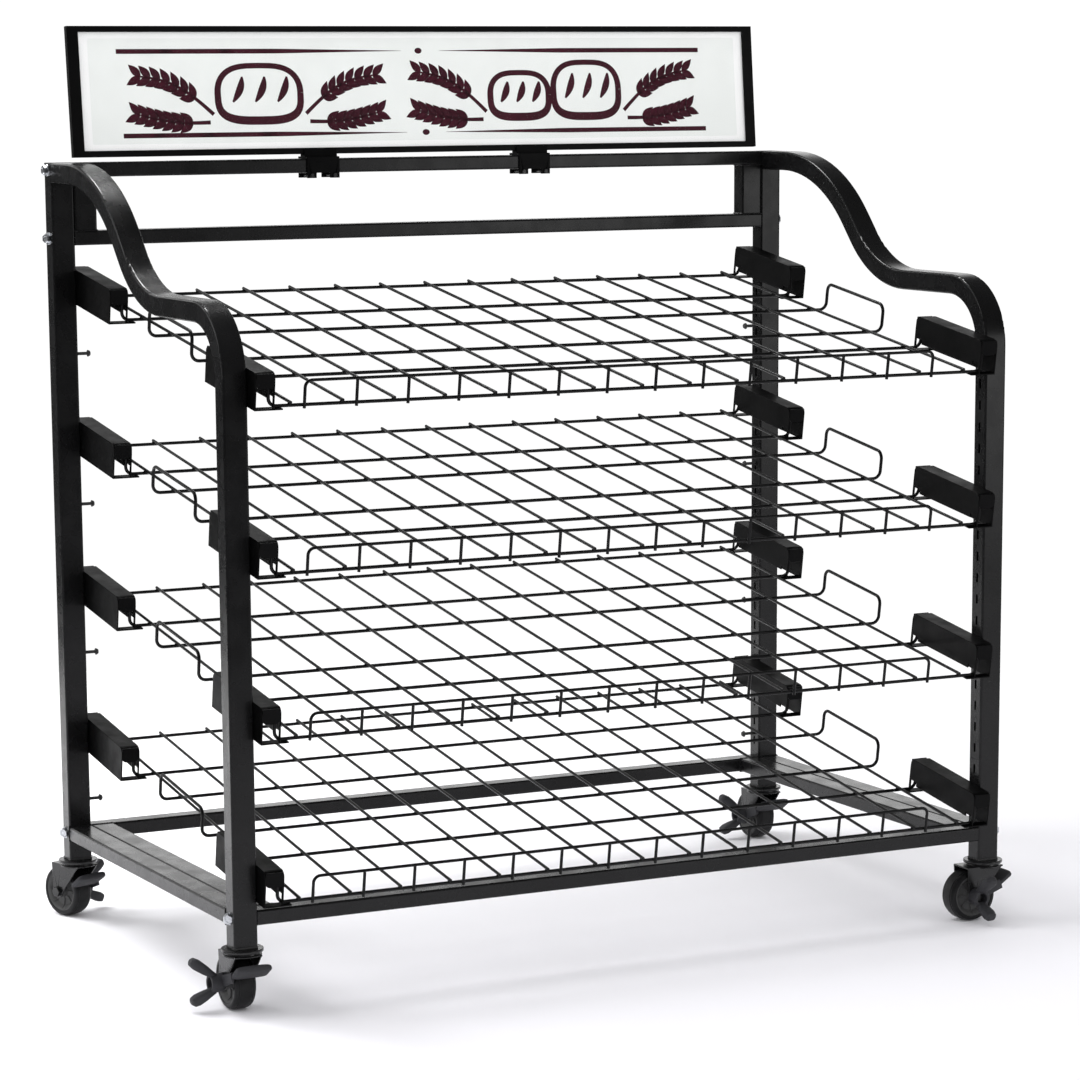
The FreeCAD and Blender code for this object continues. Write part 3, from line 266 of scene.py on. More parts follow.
@dataclass(frozen=True)
class Moulding:
    """Moulded plastic or rubber: a fine eroded texture and slight wear."""

    name: str
    colour: Colour
    gloss: float
    grain: float = 0.0009
    grain_depth: float = 0.00007
    shine: float = 0.22
    wear: float = 0.018
    haze: float = 0.009

    def build(self) -> bpy.types.Material:
        """Makes the material.

        Returns:
            The moulding's material.
        """
        shader = Shader(self.name, {"Specular IOR Level": self.shine})
        worn = tuple(1.7 * value + 0.001 for value in self.colour)
        shader.tint(shader.noise(self.wear, 4.0), [(0.35, self.colour), (0.78, worn)])
        shader.rough(shader.noise(self.haze, 3.0), self.gloss * 0.85, self.gloss * 1.2)
        shader.relief([(shader.grains(self.grain), self.grain_depth)])
        return shader.material


@dataclass(frozen=True)
class Print:
    """Printed or plain sheet: matt ink with a faint mottle."""

    name: str
    colour: Colour
    gloss: float
    mottle: float
    shine: float = 0.15
    blotch: float = 0.05
    haze: float = 0.004
    tooth: float = 0.0007
    tooth_depth: float = 0.00001

    def build(self) -> bpy.types.Material:
        """Makes the material.

        Returns:
            The print's material.
        """
        shader = Shader(self.name, {"Specular IOR Level": self.shine})
        deep = tuple(value * (1.0 - self.mottle) for value in self.colour)
        shader.tint(shader.noise(self.blotch, 2.0), [(0.35, deep), (0.65, self.colour)])
        shader.rough(shader.noise(self.haze, 2.0), self.gloss * 0.9, self.gloss * 1.1)
        shader.relief([(shader.noise(self.tooth, 1.0), self.tooth_depth)])
        return shader.material


@dataclass(frozen=True)
class ClearSheet:
    """A thin clear sheet, faintly rippled."""

    name: str
    opacity: float
    gloss: float
    tint: Colour = (0.50, 0.52, 0.52)
    shine: float = 0.25
    haze: float = 0.012
    ripple: float = 0.09
    ripple_depth: float = 0.0002

    def build(self) -> bpy.types.Material:
        """Makes the material.

        Returns:
            The sheet's material.
        """
        shader = Shader(self.name, {"Alpha": self.opacity, "Specular IOR Level": self.shine,
                                    "Base Color": (*self.tint, 1.0)})
        shader.rough(shader.noise(self.haze, 2.0), self.gloss, self.gloss * 1.5)
        shader.relief([(shader.noise(self.ripple, 1.0), self.ripple_depth)])
        return shader.material


@dataclass(frozen=True)
class Ground:
    """The studio's pale floor, with painted shade and painted light: greyer and cooler towards the front
    around the rack, painted brighter towards the back so that it fades into the white world.
    """

    name: str
    near: float
    far: float
    front: float = -0.2
    back: float = 2.2

    def build(self) -> bpy.types.Material:
        """Makes the material.

        Returns:
            The floor's material.
        """
        shader = Shader(self.name, {"Roughness": 0.9, "Specular IOR Level": 0.1})
        axis = shader.tree.nodes.new("ShaderNodeSeparateXYZ")
        shader.tree.links.new(shader.position, axis.inputs["Vector"])
        # Painted shade and painted light, by Y alone: the near colour is a painted grey, cool shade in
        # front of the rack, and the far colour a painted brightening towards the back.
        reach = shader.between(axis.outputs["Y"], 0.0, 1.0, self.front, self.back)
        painted_shade = (self.near, self.near * 0.992, self.near * 1.035)
        shader.tint(reach, [(0.0, painted_shade), (1.0, (self.far, self.far, self.far))])
        return shader.material


class Finish(Enum):
    """Every finish of the rack, by the piece that wears it."""

    TUBE = PowderCoat("tube_powder_coat", shade=0.0045, gloss=0.25, shine=0.26,
                      peel=0.0022, peel_depth=0.00003)
    WIRE = PowderCoat("wire_powder_coat", shade=0.0025, gloss=0.34, shine=0.20,
                      peel=0.0016, peel_depth=0.00008)
    BRACKET = PowderCoat("bracket_powder_coat", shade=0.0018, gloss=0.42, shine=0.07,
                         peel=0.0018, peel_depth=0.00008)
    SIGN_BAR = PowderCoat("sign_frame_lacquer", shade=0.0020, gloss=0.42, shine=0.12,
                          peel=0.003, peel_depth=0.00005)
    FORK = PowderCoat("fork_lacquer", shade=0.0060, gloss=0.26, shine=0.40,
                      peel=0.002, peel_depth=0.00010)
    ZINC = Plate("zinc_plate", (0.66, 0.68, 0.71), gloss=0.28)
    BLACK_PLASTIC = Moulding("black_plastic", (0.0030, 0.0030, 0.0032), gloss=0.42)
    LEVER = Moulding("lever_plastic", (0.0010, 0.0010, 0.0012), gloss=0.30,
                     grain_depth=0.00002, shine=0.04)
    WHEEL = Moulding("wheel_plastic", (0.0120, 0.0125, 0.0140), gloss=0.26, shine=0.5)
    TYRE = Moulding("tyre_rubber", (0.0040, 0.0040, 0.0044), gloss=0.38,
                    grain=0.0012, grain_depth=0.0001)
    PAPER = Print("sign_white", (0.95, 0.955, 0.95), gloss=0.5, mottle=0.02)
    FIELD = Print("sign_field", (0.86, 0.885, 0.865), gloss=0.5, mottle=0.03)
    INK = Print("sign_ink", (0.052, 0.0022, 0.012), gloss=0.5, mottle=0.2)
    BACKING = Print("sign_backing", (0.46, 0.46, 0.45), gloss=0.6, mottle=0.06)
    COVER = ClearSheet("sign_cover", opacity=0.006, gloss=0.16)
    # The floor's near colour is painted shade, and its far colour is painted light.
    FLOOR = Ground("studio_floor", near=0.83, far=0.97)

    def material(self) -> bpy.types.Material:
        """The finish's material, made at its first use."""
        return bpy.data.materials.get(self.value.name) or self.value.build()


# ---------------------------------------------------------------- geometry nodes

class Kind(Enum):
    """Types of a recipe's inputs."""

    NUMBER = "NodeSocketFloat"
    COUNT = "NodeSocketInt"
    VECTOR = "NodeSocketVector"
    PART = "NodeSocketObject"
    MATERIAL = "NodeSocketMaterial"


class Recipe:
    """A Geometry Nodes tree under construction, with named inputs."""

    def __init__(self, name: str) -> None:
        """Starts a tree with one geometry input and one geometry output.

        Args:
            name: name of the tree.
        """
        self.tree = bpy.data.node_groups.new(name, "GeometryNodeTree")
        for direction in ("INPUT", "OUTPUT"):
            self.tree.interface.new_socket("Geometry", in_out=direction,
                                           socket_type="NodeSocketGeometry")
        self.entry = self.tree.nodes.new("NodeGroupInput")
        self.start = self.entry.outputs["Geometry"]

    def ask(self, name: str, kind: Kind) -> object:
        """Adds a named input and returns its socket."""
        self.tree.interface.new_socket(name, in_out="INPUT", socket_type=kind.value)
        return self.entry.outputs[name]

    def add(self, kind: str, inputs: dict[object, object], **settings: object) -> object:
        """Adds a node.

        Args:
            kind: the node's type.
            inputs: socket names or numbers, each with a value or another node's socket.
            settings: the node's own properties.

        Returns:
            The node's first output that is in use.
        """
        node = self.tree.nodes.new(kind)
        for name, value in settings.items():
            setattr(node, name, value)
        for key, value in inputs.items():
            if isinstance(value, bpy.types.NodeSocket):
                self.tree.links.new(value, node.inputs[key])
            else:
                node.inputs[key].default_value = value
        return next(socket for socket in node.outputs if socket.enabled)

    def tube(self, curve: object, radius: object, sides: object) -> object:
        """Sweeps a round section with closed ends along curves.

        Args:
            curve: the curves' socket.
            radius: the section's radius.
            sides: faces around the section.

        Returns:
            The mesh's socket.
        """
        ring = self.add("GeometryNodeCurvePrimitiveCircle", {"Resolution": sides, "Radius": radius})
        return self.add("GeometryNodeCurveToMesh",
                        {"Curve": curve, "Profile Curve": ring, "Fill Caps": True})

    def copies(self, points: object, part: object, **more: object) -> object:
        """Puts a copy of a part on every point.

        Args:
            points: the points' socket.
            part: the part's geometry.
            more: the copies' Rotation and Scale, where they have them.

        Returns:
            The copies' socket.
        """
        return self.add("GeometryNodeInstanceOnPoints", {"Points": points, "Instance": part, **more})

    def real(self, copies: object) -> object:
        """Makes copies into geometry of their own."""
        return self.add("GeometryNodeRealizeInstances", {"Geometry": copies})

    def shape_of(self, part: object) -> object:
        """Reads the geometry of an object.

        Args:
            part: socket of the input that names the object.

        Returns:
            The geometry's socket.
        """
        info = self.tree.nodes.new("GeometryNodeObjectInfo")
        self.tree.links.new(part, info.inputs["Object"])
        return info.outputs["Geometry"]

    def join(self, pieces: Iterable[object]) -> object:
        """Joins geometries in their order.

        Args:
            pieces: the geometries' sockets.

        Returns:
            The joined geometry's socket.
        """
        node = self.tree.nodes.new("GeometryNodeJoinGeometry")
        for piece in pieces:
            self.tree.links.new(piece, node.inputs["Geometry"])
        return node.outputs["Geometry"]

    def close(self, geometry: object, finish: object) -> "Recipe":
        """Realizes, smooths and dresses the geometry, and ends the tree.

        Args:
            geometry: socket of the finished geometry.
            finish: socket of its material.

        Returns:
            The recipe itself.
        """
        smooth = self.add("GeometryNodeSetShadeSmooth", {"Geometry": self.real(geometry)})
        dressed = self.add("GeometryNodeSetMaterial", {"Geometry": smooth, "Material": finish})
        output = self.tree.nodes.new("NodeGroupOutput")
        self.tree.links.new(dressed, output.inputs["Geometry"])
        return self

    def grow(self, name: str, start: bpy.types.Mesh, values: dict[str, object]) -> bpy.types.Mesh:
        """Evaluates the tree once and keeps the result as a plain mesh.

        Args:
            name: name of the mesh.
            start: mesh that the tree begins from.
            values: the named inputs.

        Returns:
            The finished mesh.
        """
        holder = bpy.data.objects.new(name, start)
        bpy.context.scene.collection.objects.link(holder)
        modifier = holder.modifiers.new(name, "NODES")
        modifier.node_group = self.tree
        for item in self.tree.interface.items_tree:
            if item.in_out == "INPUT" and item.name in values:
                modifier[item.identifier] = values[item.name]
        bpy.context.view_layer.update()
        depsgraph = bpy.context.evaluated_depsgraph_get()
        mesh = bpy.data.meshes.new_from_object(holder.evaluated_get(depsgraph))
        mesh.name = name
        holder.modifiers.clear()
        bpy.data.objects.remove(holder)
        return mesh


def bent_wire_recipe() -> Recipe:
    """Round wires along the edges of a mesh, bent at its corners.

    Returns:
        The recipe.
    """
    recipe = Recipe("bent_wire")
    radius = recipe.ask("Wire radius", Kind.NUMBER)
    corner = recipe.ask("Corner radius", Kind.NUMBER)
    sides = recipe.ask("Sides", Kind.COUNT)
    finish = recipe.ask("Finish", Kind.MATERIAL)
    line = recipe.add("GeometryNodeMeshToCurve", {"Mesh": recipe.start})
    bent = recipe.add("GeometryNodeFilletCurve", {"Curve": line, "Count": 7, "Radius": corner},
                      mode="POLY")
    return recipe.close(recipe.tube(bent, radius, sides), finish)


def wire_row_recipe() -> Recipe:
    """A row of equal straight wires along X, with a weld on each at every start point.

    Returns:
        The recipe.
    """
    recipe = Recipe("wire_row")
    count = recipe.ask("Wires", Kind.COUNT)
    pitch = recipe.ask("Pitch", Kind.VECTOR)
    first = recipe.ask("First", Kind.VECTOR)
    end_a = recipe.ask("Wire start", Kind.VECTOR)
    end_b = recipe.ask("Wire end", Kind.VECTOR)
    radius = recipe.ask("Wire radius", Kind.NUMBER)
    sides = recipe.ask("Sides", Kind.COUNT)
    smallest = recipe.ask("Smallest weld", Kind.VECTOR)
    largest = recipe.ask("Largest weld", Kind.VECTOR)
    seed = recipe.ask("Seed", Kind.COUNT)
    finish = recipe.ask("Finish", Kind.MATERIAL)
    stations = recipe.add("GeometryNodeMeshLine",
                          {"Count": count, "Start Location": first, "Offset": pitch},
                          mode="OFFSET")
    line = recipe.add("GeometryNodeCurvePrimitiveLine", {"Start": end_a, "End": end_b})
    wires = recipe.tube(recipe.real(recipe.copies(stations, line)), radius, sides)
    crossings = recipe.real(recipe.copies(stations, recipe.start))
    nugget = recipe.add("GeometryNodeMeshIcoSphere", {"Radius": 1.0, "Subdivisions": 2})
    growth = recipe.add("FunctionNodeRandomValue", {0: smallest, 1: largest, "Seed": seed},
                        data_type="FLOAT_VECTOR")
    welds = recipe.copies(crossings, nugget, Scale=growth)
    return recipe.close(recipe.join((wires, welds)), finish)


def weld_seam_recipe() -> Recipe:
    """Overlapping weld scales along the edges of a mesh.

    Returns:
        The recipe.
    """
    recipe = Recipe("weld_seam")
    step = recipe.ask("Step", Kind.NUMBER)
    smallest = recipe.ask("Smallest scale", Kind.NUMBER)
    largest = recipe.ask("Largest scale", Kind.NUMBER)
    seed = recipe.ask("Seed", Kind.COUNT)
    finish = recipe.ask("Finish", Kind.MATERIAL)
    line = recipe.add("GeometryNodeMeshToCurve", {"Mesh": recipe.start})
    even = recipe.add("GeometryNodeResampleCurve", {"Curve": line, "Length": step}, mode="LENGTH")
    tangent = recipe.add("GeometryNodeInputTangent", {})
    turn = recipe.add("FunctionNodeAlignRotationToVector", {"Vector": tangent}, axis="X")
    scale = recipe.add("GeometryNodeMeshIcoSphere", {"Radius": 1.0, "Subdivisions": 1})
    size = recipe.add("FunctionNodeRandomValue", {2: smallest, 3: largest, "Seed": seed},
                      data_type="FLOAT")
    return recipe.close(recipe.copies(even, scale, Rotation=turn, Scale=size), finish)


def parts_on_points_recipe() -> Recipe:
    """A copy of one part on every vertex, turned by the vertex's own "turn".

    Returns:
        The recipe.
    """
    recipe = Recipe("parts_on_points")
    part = recipe.ask("Part", Kind.PART)
    finish = recipe.ask("Finish", Kind.MATERIAL)
    named = recipe.add("GeometryNodeInputNamedAttribute", {"Name": "turn"},
                       data_type="FLOAT_VECTOR")
    turn = recipe.add("FunctionNodeEulerToRotation", {0: named})
    return recipe.close(recipe.copies(recipe.start, recipe.shape_of(part), Rotation=turn), finish)


def grain_ear_recipe() -> Recipe:
    """Flat grains in pairs along a stem in the XZ plane, growing towards the stem's end.

    Returns:
        The recipe.
    """
    recipe = Recipe("grain_ear")
    grain = recipe.shape_of(recipe.ask("Grain", Kind.PART))
    pairs = recipe.ask("Pairs", Kind.COUNT)
    spread = recipe.ask("Spread", Kind.NUMBER)
    finish = recipe.ask("Finish", Kind.MATERIAL)
    line = recipe.add("GeometryNodeMeshToCurve", {"Mesh": recipe.start})
    even = recipe.add("GeometryNodeResampleCurve", {"Curve": line, "Count": pairs}, mode="COUNT")
    tangent = recipe.add("GeometryNodeInputTangent", {})
    rows = []
    for side in (1.0, -1.0):
        angle = recipe.add("ShaderNodeMath", {0: spread, 1: side}, operation="MULTIPLY")
        aim = recipe.add("ShaderNodeVectorRotate",
                         {"Vector": tangent, "Axis": (0, 1, 0), "Angle": angle},
                         rotation_type="AXIS_ANGLE")
        turn = recipe.add("FunctionNodeAlignRotationToVector", {"Vector": aim}, axis="X",
                          pivot_axis="Y")
        rows.append(recipe.copies(even, grain, Rotation=turn))
    return recipe.close(recipe.join(rows), finish)


# ---------------------------------------------------------------- meshes

def line_mesh(name: str, lines: Iterable[Sequence[Point]], closed: bool) -> bpy.types.Mesh:
    """A mesh of edges along polylines.

    Args:
        name: name of the mesh.
        lines: the polylines' points.
        closed: whether each line comes back to its first point.

    Returns:
        The mesh of edges.
    """
    points: list[Point] = []
    edges: list[tuple[int, int]] = []
    for line in lines:
        first = len(points)
        points += line
        edges += [(first + n, first + n + 1) for n in range(len(line) - 1)]
        if closed:
            edges.append((first + len(line) - 1, first))
    mesh = bpy.data.meshes.new(name)
    mesh.from_pydata([tuple(point) for point in points], edges, [])
    return mesh


def point_mesh(name: str, places: Places) -> bpy.types.Mesh:
    """A mesh of loose vertices, each with its own turn.

    Args:
        name: name of the mesh.
        places: positions, each with its Euler angles.

    Returns:
        The mesh of points.
    """
    mesh = bpy.data.meshes.new(name)
    mesh.from_pydata([tuple(place) for place, _ in places], [], [])
    turns = mesh.attributes.new("turn", "FLOAT_VECTOR", "POINT")
    turns.data.foreach_set("vector", [value for _, turn in places for value in turn])
    return mesh


def lathe(work: bmesh.types.BMesh, profile: Sequence[tuple[float, float]], place: Matrix,
          segments: int = 48) -> None:
    """Adds a turned ring or a closed turned solid about the local Z axis.

    Args:
        work: mesh that takes the faces.
        profile: closed outline of radius and height, the outside on its right-hand side; a point
            at radius 0 is on the axis.
        place: from the lathe's own frame into the mesh's.
        segments: faces around the axis.
    """
    rings = []
    for radius, height in profile:
        if radius < ON_AXIS:
            rings.append([work.verts.new(place @ Vector((0, 0, height)))] * segments)
            continue
        rings.append([work.verts.new(place @ Vector((radius * math.cos(angle),
                                                     radius * math.sin(angle), height)))
                      for angle in (math.tau * n / segments for n in range(segments))])
    count = len(profile)
    for index in range(count):
        following = (index + 1) % count
        if profile[index][0] < ON_AXIS and profile[following][0] < ON_AXIS:
            continue
        low, high = rings[index], rings[following]
        for n in range(segments):
            m = (n + 1) % segments
            work.faces.new(list(dict.fromkeys((low[n], low[m], high[m], high[n]))))


def rounded(profile: Sequence[tuple[float, float, float]], steps: int = 4,
            ) -> list[tuple[float, float]]:
    """Rounds the corners of a closed outline.

    Args:
        profile: corners, each with its radius.
        steps: pieces of each round.

    Returns:
        The outline's points.
    """
    points = []
    count = len(profile)
    for index, (x, y, radius) in enumerate(profile):
        corner = Vector((x, y))
        if radius <= 0:
            points.append((x, y))
            continue
        before = Vector(profile[index - 1][:2]) - corner
        after = Vector(profile[(index + 1) % count][:2]) - corner
        half = before.angle(after) / 2
        reach = min(radius / math.tan(half), before.length * 0.49, after.length * 0.49)
        start = corner + before.normalized() * reach
        end = corner + after.normalized() * reach
        for step in range(steps + 1):
            t = step / steps
            point = start * (1 - t) ** 2 + corner * 2 * t * (1 - t) + end * t ** 2
            points.append((point.x, point.y))
    return points


def loft(work: bmesh.types.BMesh, sections: Sequence[tuple[Vector, Vector, Vector]],
         place: Matrix, power: float = 4.0, around: int = 24) -> None:
    """Adds a closed skin over rounded sections.

    Args:
        work: mesh that takes the faces.
        sections: centre, half width and half height of each section.
        place: from the sections' frame into the mesh's.
        power: 2 for ellipses, more for squarer sections.
        around: points of each section.
    """
    rings = []
    for centre, wide, high in sections:
        ring = []
        for n in range(around):
            angle = math.tau * n / around
            cosine, sine = math.cos(angle), math.sin(angle)
            across = wide * math.copysign(abs(cosine) ** (2 / power), cosine)
            up = high * math.copysign(abs(sine) ** (2 / power), sine)
            ring.append(work.verts.new(place @ (centre + across + up)))
        rings.append(ring)
    for low, high in zip(rings, rings[1:]):
        for n in range(around):
            m = (n + 1) % around
            work.faces.new((low[n], low[m], high[m], high[n]))
    work.faces.new(list(reversed(rings[0])))
    work.faces.new(rings[-1])


def flat(work: bmesh.types.BMesh, outline: Sequence[tuple[float, float]], front: float,
         thick: float) -> None:
    """Adds a thin sheet with an outline in the XZ plane.

    Args:
        work: mesh that takes the faces.
        outline: corners in X and Z.
        front: the sheet's front face along Y.
        thick: thickness of the sheet.
    """
    near = [work.verts.new((x, front, z)) for x, z in outline]
    far = [work.verts.new((x, front + thick, z)) for x, z in outline]
    work.faces.new(near)
    work.faces.new(list(reversed(far)))
    count = len(outline)
    for n in range(count):
        m = (n + 1) % count
        work.faces.new((near[n], far[n], far[m], near[m]))


def plain_mesh(work: bmesh.types.BMesh, name: str) -> bpy.types.Mesh:
    """Gives the mesh as it stands and frees the work.

    Args:
        work: the finished work.
        name: name of the mesh.

    Returns:
        The mesh.
    """
    mesh = bpy.data.meshes.new(name)
    work.to_mesh(mesh)
    work.free()
    return mesh


def finish_mesh(work: bmesh.types.BMesh, name: str) -> bpy.types.Mesh:
    """Turns every face outwards, smooths the faces and gives the mesh.

    Args:
        work: the finished work.
        name: name of the mesh.

    Returns:
        The mesh.
    """
    bmesh.ops.remove_doubles(work, verts=work.verts, dist=SAME_POINT)
    bmesh.ops.recalc_face_normals(work, faces=work.faces)
    for face in work.faces:
        face.smooth = True
    return plain_mesh(work, name)


@dataclass(frozen=True)
class Recipes:
    """The rack's recipes, each built once."""

    bent_wire: Recipe
    wire_row: Recipe
    weld_seam: Recipe
    parts_on_points: Recipe
    grain_ear: Recipe

    def copy_part(self, name: str, part: bpy.types.Mesh, places: Places,
                  finish: Finish) -> bpy.types.Mesh:
        """Puts copies of a part at places.

        Args:
            name: name of the copies' mesh.
            part: the part's mesh.
            places: positions, each with its Euler angles.
            finish: the copies' finish.

        Returns:
            One mesh with all the copies.
        """
        master = bpy.data.objects.new(f"{name}_master", part)
        copies = self.parts_on_points.grow(name, point_mesh(f"{name}_points", places),
                                           {"Part": master, "Finish": finish.material()})
        bpy.data.objects.remove(master)
        return copies


def place_piece(name: str, mesh: bpy.types.Mesh, finish: Finish, body: str,
                nodes: Sequence[str] = (), crease: Optional[float] = 35.0) -> bpy.types.Object:
    """Makes a finished piece from a mesh and binds it to the frame.

    Args:
        name: name of the piece.
        mesh: its mesh, in place.
        finish: its finish.
        body: body that it rides on.
        nodes: nodes that it stands for.
        crease: angle in degrees above which edges stay sharp, or None to leave them as they are.

    Returns:
        The piece.
    """
    mesh.materials.clear()
    mesh.materials.append(finish.material())
    piece = bpy.data.objects.new(name, mesh)
    bpy.context.scene.collection.objects.link(piece)
    if crease is not None:
        mesh.set_sharp_from_angle(angle=math.radians(crease))
    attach(piece, body)
    if nodes:
        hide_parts(*nodes)
    log.info("%s: %d faces", name, len(mesh.polygons))
    return piece


def dress_node(node: str, finish: Finish, ease: float = 0.0) -> None:
    """Gives a node of the frame its finish and, with modifiers, eased edges.

    Args:
        node: name of the node.
        finish: its finish.
        ease: width of the eased edges in metres, or 0 for none.
    """
    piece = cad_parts[node]
    piece.data.materials.clear()
    piece.data.materials.append(finish.material())
    if ease > 0:
        weld = piece.modifiers.new("weld", "WELD")
        weld.merge_threshold = SAME_CORNER
        bevel = piece.modifiers.new("ease", "BEVEL")
        bevel.width = ease
        bevel.segments = EASE_STEPS
        bevel.limit_method = "ANGLE"
        bevel.angle_limit = math.radians(EASE_ANGLE)
        bevel.harden_normals = True
        bevel.use_clamp_overlap = False
    log.info("%s: dressed", node)


# ---------------------------------------------------------------- shelves

@dataclass
class Shelf:
    """A sloping shelf: three closed wires with standing loops, a mat of wires and a front guard."""

    number: int
    level: float
    recipes: Recipes
    rear: float = 0.355
    fall_height: float = 0.1025
    fall_run: float = 0.67
    depth: float = 0.731
    half_width: float = 0.545
    bays: int = 14
    frame_radius: float = 0.0025
    frame_sides: int = 14
    cross_radius: float = 0.00225
    cross_sides: int = 12
    overhang: float = 0.004
    mat_welds: tuple[Point, Point] = ((0.0026, 0.0026, 0.0014), (0.0036, 0.0036, 0.0019))
    loop_length: float = 0.168
    loop_height: float = 0.042
    loop_overhang: float = 0.032
    loop_corner: float = 0.012
    guard_height: float = 0.035
    guard_inset: float = 0.020
    guard_foot: float = 0.004
    guard_corner: float = 0.010
    guard_welds: tuple[Point, Point] = ((0.0026, 0.0024, 0.0022), (0.0032, 0.0028, 0.0028))
    guard_seed: int = 10

    @property
    def fall(self) -> float:
        """Slope of the shelf, in radians."""
        return math.atan2(self.fall_height, self.fall_run)

    @property
    def place(self) -> Matrix:
        """From the shelf's own frame into the rack's."""
        return Matrix.Translation((0, self.rear, self.level)) @ Matrix.Rotation(self.fall, 4, "X")

    @property
    def bay(self) -> float:
        """Distance from one cross wire to the next."""
        return 2 * self.half_width / self.bays

    def runs(self) -> list[float]:
        """Where the closed wires run, from the rear wire forwards."""
        step = (self.depth - self.loop_length) / 2
        return [-(number * step + extra) for number in range(3) for extra in (0, self.loop_length)]

    def bent(self, name: str, lines: Sequence[Sequence[Point]], closed: bool, radius: float,
             corner: float, sides: int) -> bpy.types.Mesh:
        """Bent wires along polylines.

        Args:
            name: name of the mesh.
            lines: the polylines' points.
            closed: whether each wire comes back to its start.
            radius: radius of the wire.
            corner: radius of its bends.
            sides: faces around it.

        Returns:
            The wires.
        """
        return self.recipes.bent_wire.grow(name, line_mesh(f"{name}_line", lines, closed), {
            "Wire radius": radius, "Corner radius": corner, "Sides": sides,
            "Finish": Finish.WIRE.material()})

    def row(self, name: str, wires: int, first: float, start: Point, end: Point,
            crossings: Sequence[Point], welds: tuple[Point, Point], seed: int) -> bpy.types.Mesh:
        """A row of straight wires, a bay apart, with their welds.

        Args:
            name: name of the mesh.
            wires: how many there are.
            first: the first one's X.
            start: start of each wire at X 0.
            end: its end.
            crossings: where it is welded, at X 0.
            welds: radii of the smallest and of the largest weld.
            seed: seed of the welds' sizes.

        Returns:
            The wires and welds.
        """
        points = point_mesh(f"{name}_welds", [(point, (0, 0, 0)) for point in crossings])
        return self.recipes.wire_row.grow(name, points, {
            "Wires": wires, "Pitch": (self.bay, 0, 0), "First": (first, 0, 0),
            "Wire start": start, "Wire end": end, "Wire radius": self.cross_radius,
            "Sides": self.cross_sides, "Smallest weld": welds[0], "Largest weld": welds[1],
            "Seed": seed, "Finish": Finish.WIRE.material()})

    def closed_wires(self) -> bpy.types.Mesh:
        """The three closed wires.

        Returns:
            Their mesh, in the shelf's own frame.
        """
        side = self.half_width + self.loop_overhang
        runs = self.runs()
        lines = []
        for rear, front in zip(runs[::2], runs[1::2]):
            line: list[Point] = []
            for x, first, second in ((side, rear, front), (-side, front, rear)):
                line += [(x, first, 0), (x, first, self.loop_height),
                         (x, second, self.loop_height), (x, second, 0)]
            lines.append(line)
        return self.bent(f"shelf_{self.number}_loops", lines, True, self.frame_radius,
                         self.loop_corner, self.frame_sides)

    def mat(self) -> bpy.types.Mesh:
        """The cross wires with their welds.

        Returns:
            Their mesh, in the shelf's own frame.
        """
        top = self.frame_radius + self.cross_radius
        return self.row(f"shelf_{self.number}_mat", self.bays + 1, -self.half_width,
                        (0, self.overhang, top), (0, -self.depth - self.overhang, top),
                        [(0, run, self.frame_radius) for run in self.runs()],
                        self.mat_welds, self.number)

    def guard(self) -> bpy.types.Mesh:
        """The front guard: a bent wire, its uprights and their welds.

        Returns:
            Its mesh, in the shelf's own frame.
        """
        y = -self.depth - self.frame_radius - self.cross_radius
        first = self.guard_inset - self.half_width
        last = first + (self.bays - 1) * self.bay
        foot, top = -self.guard_foot, self.guard_height
        rail = [(first, y, foot), (first, y, top), (last, y, top), (last, y, foot)]
        work = bmesh.new()
        work.from_mesh(self.bent("guard_rail", [rail], False, self.cross_radius,
                                 self.guard_corner, self.cross_sides))
        work.from_mesh(self.row("guard_uprights", self.bays - 2, first + self.bay,
                                (0, y, foot), (0, y, top),
                                [(0, y, top), (0, y + self.cross_radius, 0)],
                                self.guard_welds, self.number + self.guard_seed))
        return plain_mesh(work, f"shelf_{self.number}_guard")

    def build(self) -> None:
        """Makes the shelf's three pieces."""
        label = f"shelf_{self.number}"
        for mesh, piece, node in ((self.closed_wires(), "closed_wires", "frame_wires"),
                                  (self.mat(), "wire_mat", "cross_wires"),
                                  (self.guard(), "guard_wires", "front_guard")):
            mesh.transform(self.place)
            place_piece(f"{label}_{piece}", mesh, Finish.WIRE, RACK,
                        [f"{label}_{node}"], crease=50.0)


@dataclass
class Brackets:
    """The shelf brackets, their ends turned in over the standing loops."""

    recipes: Recipes
    shelves: Sequence[Shelf]
    middle: float = 0.5845
    overhang: float = 0.007
    lip_width: float = 0.026
    lip_top: float = 0.0465
    lip_low: float = 0.025
    lip_corner: float = 0.007
    sheet: float = 0.002

    def lip(self) -> bpy.types.Mesh:
        """One turned-in end, about the middle of its sheet.

        Returns:
            Its mesh, upright at the origin.
        """
        half = self.lip_width / 2
        outline = rounded([(-half, self.lip_low, self.lip_corner), (half, self.lip_low, self.lip_corner),
                           (half, self.lip_top, 0.0), (-half, self.lip_top, 0.0)], 5)
        work = bmesh.new()
        flat(work, outline, -self.sheet / 2, self.sheet)
        return finish_mesh(work, "lip")

    def build(self) -> None:
        """Dresses the brackets and adds the lips at their ends."""
        dress_node("shelf_brackets", Finish.BRACKET, 0.0007)
        inset = self.overhang - self.sheet / 2
        places = []
        for shelf in self.shelves:
            runs = shelf.runs()
            for run, way in ((runs[0], 1), (runs[1], -1), (runs[-2], 1), (runs[-1], -1)):
                places += [(shelf.place @ Vector((side * self.middle, run + way * inset, 0)),
                            (shelf.fall, 0, 0)) for side in (1, -1)]
        mesh = self.recipes.copy_part("bracket_lips", self.lip(), places, Finish.BRACKET)
        place_piece("bracket_lips", mesh, Finish.BRACKET, RACK, crease=30.0)


# ---------------------------------------------------------------- frame

